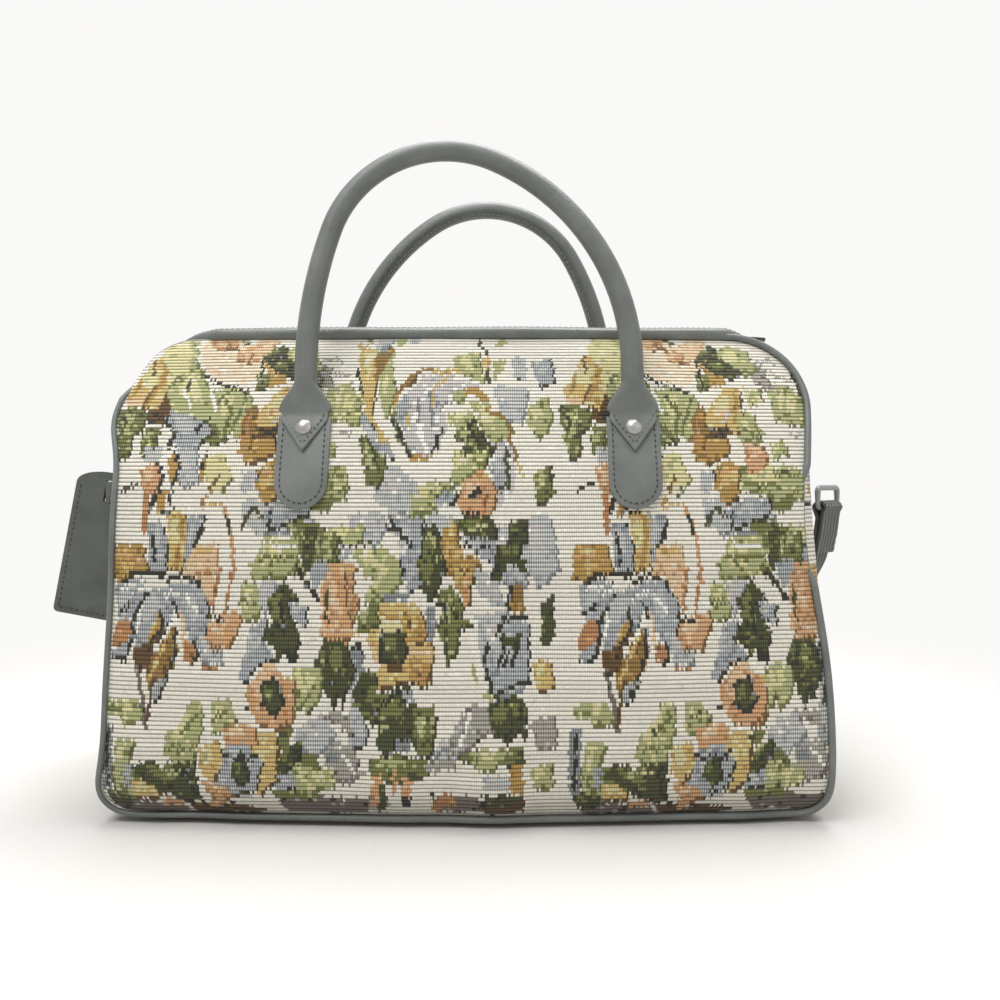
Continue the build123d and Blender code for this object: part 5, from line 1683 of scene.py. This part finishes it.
def tagStitches():
    # down one side, along the foot and up the other side
    half = tag["width"] / 2 - tag["stitchInset"]
    foot = tag["topMargin"] - tag["length"] + tag["stitchInset"]
    side = [(-half, z) for z in np.linspace(2, foot, 60)]
    low = [(x, foot) for x in np.linspace(-half, half, 30)]
    other = [(-x, z) for x, z in side[::-1]]
    rows = []
    for run in (side, low, other):
        spots = [tagSpot(x, z, -0.12) for x, z in run]
        rows.append(sewRow("tagRow", spots, np.tile((0, -1, 0), (len(spots), 1)),
                           pitch=3.3, length=2.3, thick=0.4, slant=0.12))
    return dress(joinPieces("tagStitches", rows), darkThread, "tag")


tagStitches()

tagStrap = {"width": 12.6, "thick": 1.2, "loop": 2.6, "past": 0.5, "bow": 0.5, "rooted": 2.0}


def tagStrapPiece():
    # a vinyl strip sewn to the gusset, through the slot and back
    middle = tag["slotY"] + tag["layer"]
    start = -(float(gussetSwell(-1, tag["slotZ"])) - tagStrap["rooted"])
    turn, loop = tag["slotX"] + tagStrap["past"], tagStrap["loop"]

    def leg(share, way):
        return start + (turn - start) * share, middle + way * (loop + tagStrap["bow"] * math.sin(share * math.pi))

    line = [leg(t, -1) for t in np.linspace(0, 1, 8)]
    for a in np.radians(np.linspace(-90, -270, 9)[1:]):
        line.append((turn + loop * math.cos(a), middle + loop * math.sin(a)))
    line += [leg(t, 1) for t in np.linspace(1, 0, 8)[1:]]
    line = np.array(line)

    def place(u, v):
        row = np.rint((v + 1) / 2 * (len(line) - 1)).astype(int)
        return (line[row, 0], line[row, 1], tag["slotZ"] + u * tagStrap["width"] / 2)

    piece = gridPiece("tagStrap", 6, len(line) - 1, place)
    modify(piece, "SOLIDIFY", thickness=tagStrap["thick"] * mm, offset=0)
    softenEdges(piece, 0.3)
    return dress(piece, tagVinyl, "bag", ["tag_strap"])


tagStrapPiece()
print("tag made")

# finishes of the solids that stay

keptFinish = {
    "base_board": hardboard, "zip_tape_front": zipTape, "zip_tape_back": zipTape,
    "zip_slider": zipMetal, "zip_pull": zipMetal, "front_handle_core": foam, "back_handle_core": foam,
    "rivet_backs": nickel,
}
for nodeName, material in keptFinish.items():
    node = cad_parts[nodeName]
    node.data.materials.clear()
    node.data.materials.append(material)

# floor, light and camera

# lamps: place and target in m, size in m, power in W
studio = {
    "floor": "#E2E0DD", "floorDark": "#DCDAD7", "background": "#FAF9F8", "world": 0.25,
    "lamps": {"keyLamp": ((-0.7, -1.05, 2.1), (0, 0, 0.15), 1.2, 30.0),
              "fillLamp": ((1.3, -1.3, 0.9), (0, 0, 0.15), 1.2, 3.0),
              "topLamp": ((0.1, 0.3, 1.9), (0, 0, 0.2), 1.4, 40.0)},
}


def seenRays(tree):
    # 1 for rays that show the background: to the eye, in gloss and through clear things
    light = addNode(tree, "LightPath")
    gloss = addNode(tree, "Math", {"operation": "MAXIMUM"},
                    {0: light.outputs["Is Camera Ray"], 1: light.outputs["Is Glossy Ray"]})
    return addNode(tree, "Math", {"operation": "MAXIMUM"},
                   {0: gloss.outputs[0], 1: light.outputs["Is Transmission Ray"]})


def studioSet():
    deselectAll()
    bpy.ops.mesh.primitive_plane_add(size=8)
    floor = bpy.context.object
    floor.name = "studioFloor"
    paper, tree, shader = newMaterial("palePaper", {"Roughness": 0.85})
    place = addNode(tree, "TexCoord")
    grain = addNode(tree, "TexNoise", {"Scale": 300.0}, {"Vector": place.outputs["Object"]})
    ramp = addNode(tree, "ValToRGB", {}, {"Fac": grain.outputs["Fac"]})
    ramp.color_ramp.elements[0].color = hexColour(studio["floorDark"])
    ramp.color_ramp.elements[1].color = hexColour(studio["floor"])
    tree.links.new(ramp.outputs[0], shader.inputs["Base Color"])
    away = addNode(tree, "VectorMath", {"operation": "LENGTH"}, {0: place.outputs["Object"]})
    fade = addNode(tree, "MapRange", {"interpolation_type": "SMOOTHSTEP", "From Min": 0.3, "From Max": 0.75},
                   {"Value": away.outputs["Value"]})
    seen = seenRays(tree)
    share = addNode(tree, "Math", {"operation": "MULTIPLY"}, {0: fade.outputs[0], 1: seen.outputs[0]})
    glow = addNode(tree, "Emission", {"Color": hexColour(studio["background"]), "Strength": 1.0})
    both = addNode(tree, "MixShader", {}, {0: share.outputs[0], 1: shader.outputs[0], 2: glow.outputs[0]})
    tree.links.new(both.outputs[0], tree.nodes["Material Output"].inputs["Surface"])
    floor.data.materials.append(paper)
    world = bpy.data.worlds.new("softStudio")
    scene.world = world
    world.use_nodes = True
    tree = world.node_tree
    background = tree.nodes["Background"]
    background.inputs["Color"].default_value = hexColour(studio["background"])
    seen = seenRays(tree)
    strength = addNode(tree, "MapRange", {"To Min": studio["world"], "To Max": 1.0}, {"Value": seen.outputs[0]})
    tree.links.new(strength.outputs[0], background.inputs["Strength"])

    for name, (spot, target, size, power) in studio["lamps"].items():
        data = bpy.data.lights.new(name, "AREA")
        data.size = size
        data.energy = power
        lamp = bpy.data.objects.new(name, data)
        bpy.context.collection.objects.link(lamp)
        lamp.location = spot
        lamp.rotation_euler = (Vector(target) - Vector(spot)).to_track_quat("-Z", "Y").to_euler()


studioSet()

cameraPlace = {"x": 0.0177, "y": -0.575, "z": 0.192, "lens": 31.79, "shiftY": -0.02}
cameraData = bpy.data.cameras.new("photoCamera")
cameraData.sensor_width = 36
cameraData.lens = cameraPlace["lens"]
cameraData.shift_y = cameraPlace["shiftY"]
cameraData.clip_start = 0.01
camera = bpy.data.objects.new("photoCamera", cameraData)
bpy.context.collection.objects.link(camera)
camera.location = (cameraPlace["x"], cameraPlace["y"], cameraPlace["z"])
camera.rotation_euler = (math.radians(90), 0, 0)
scene.camera = camera

print("scene ready")
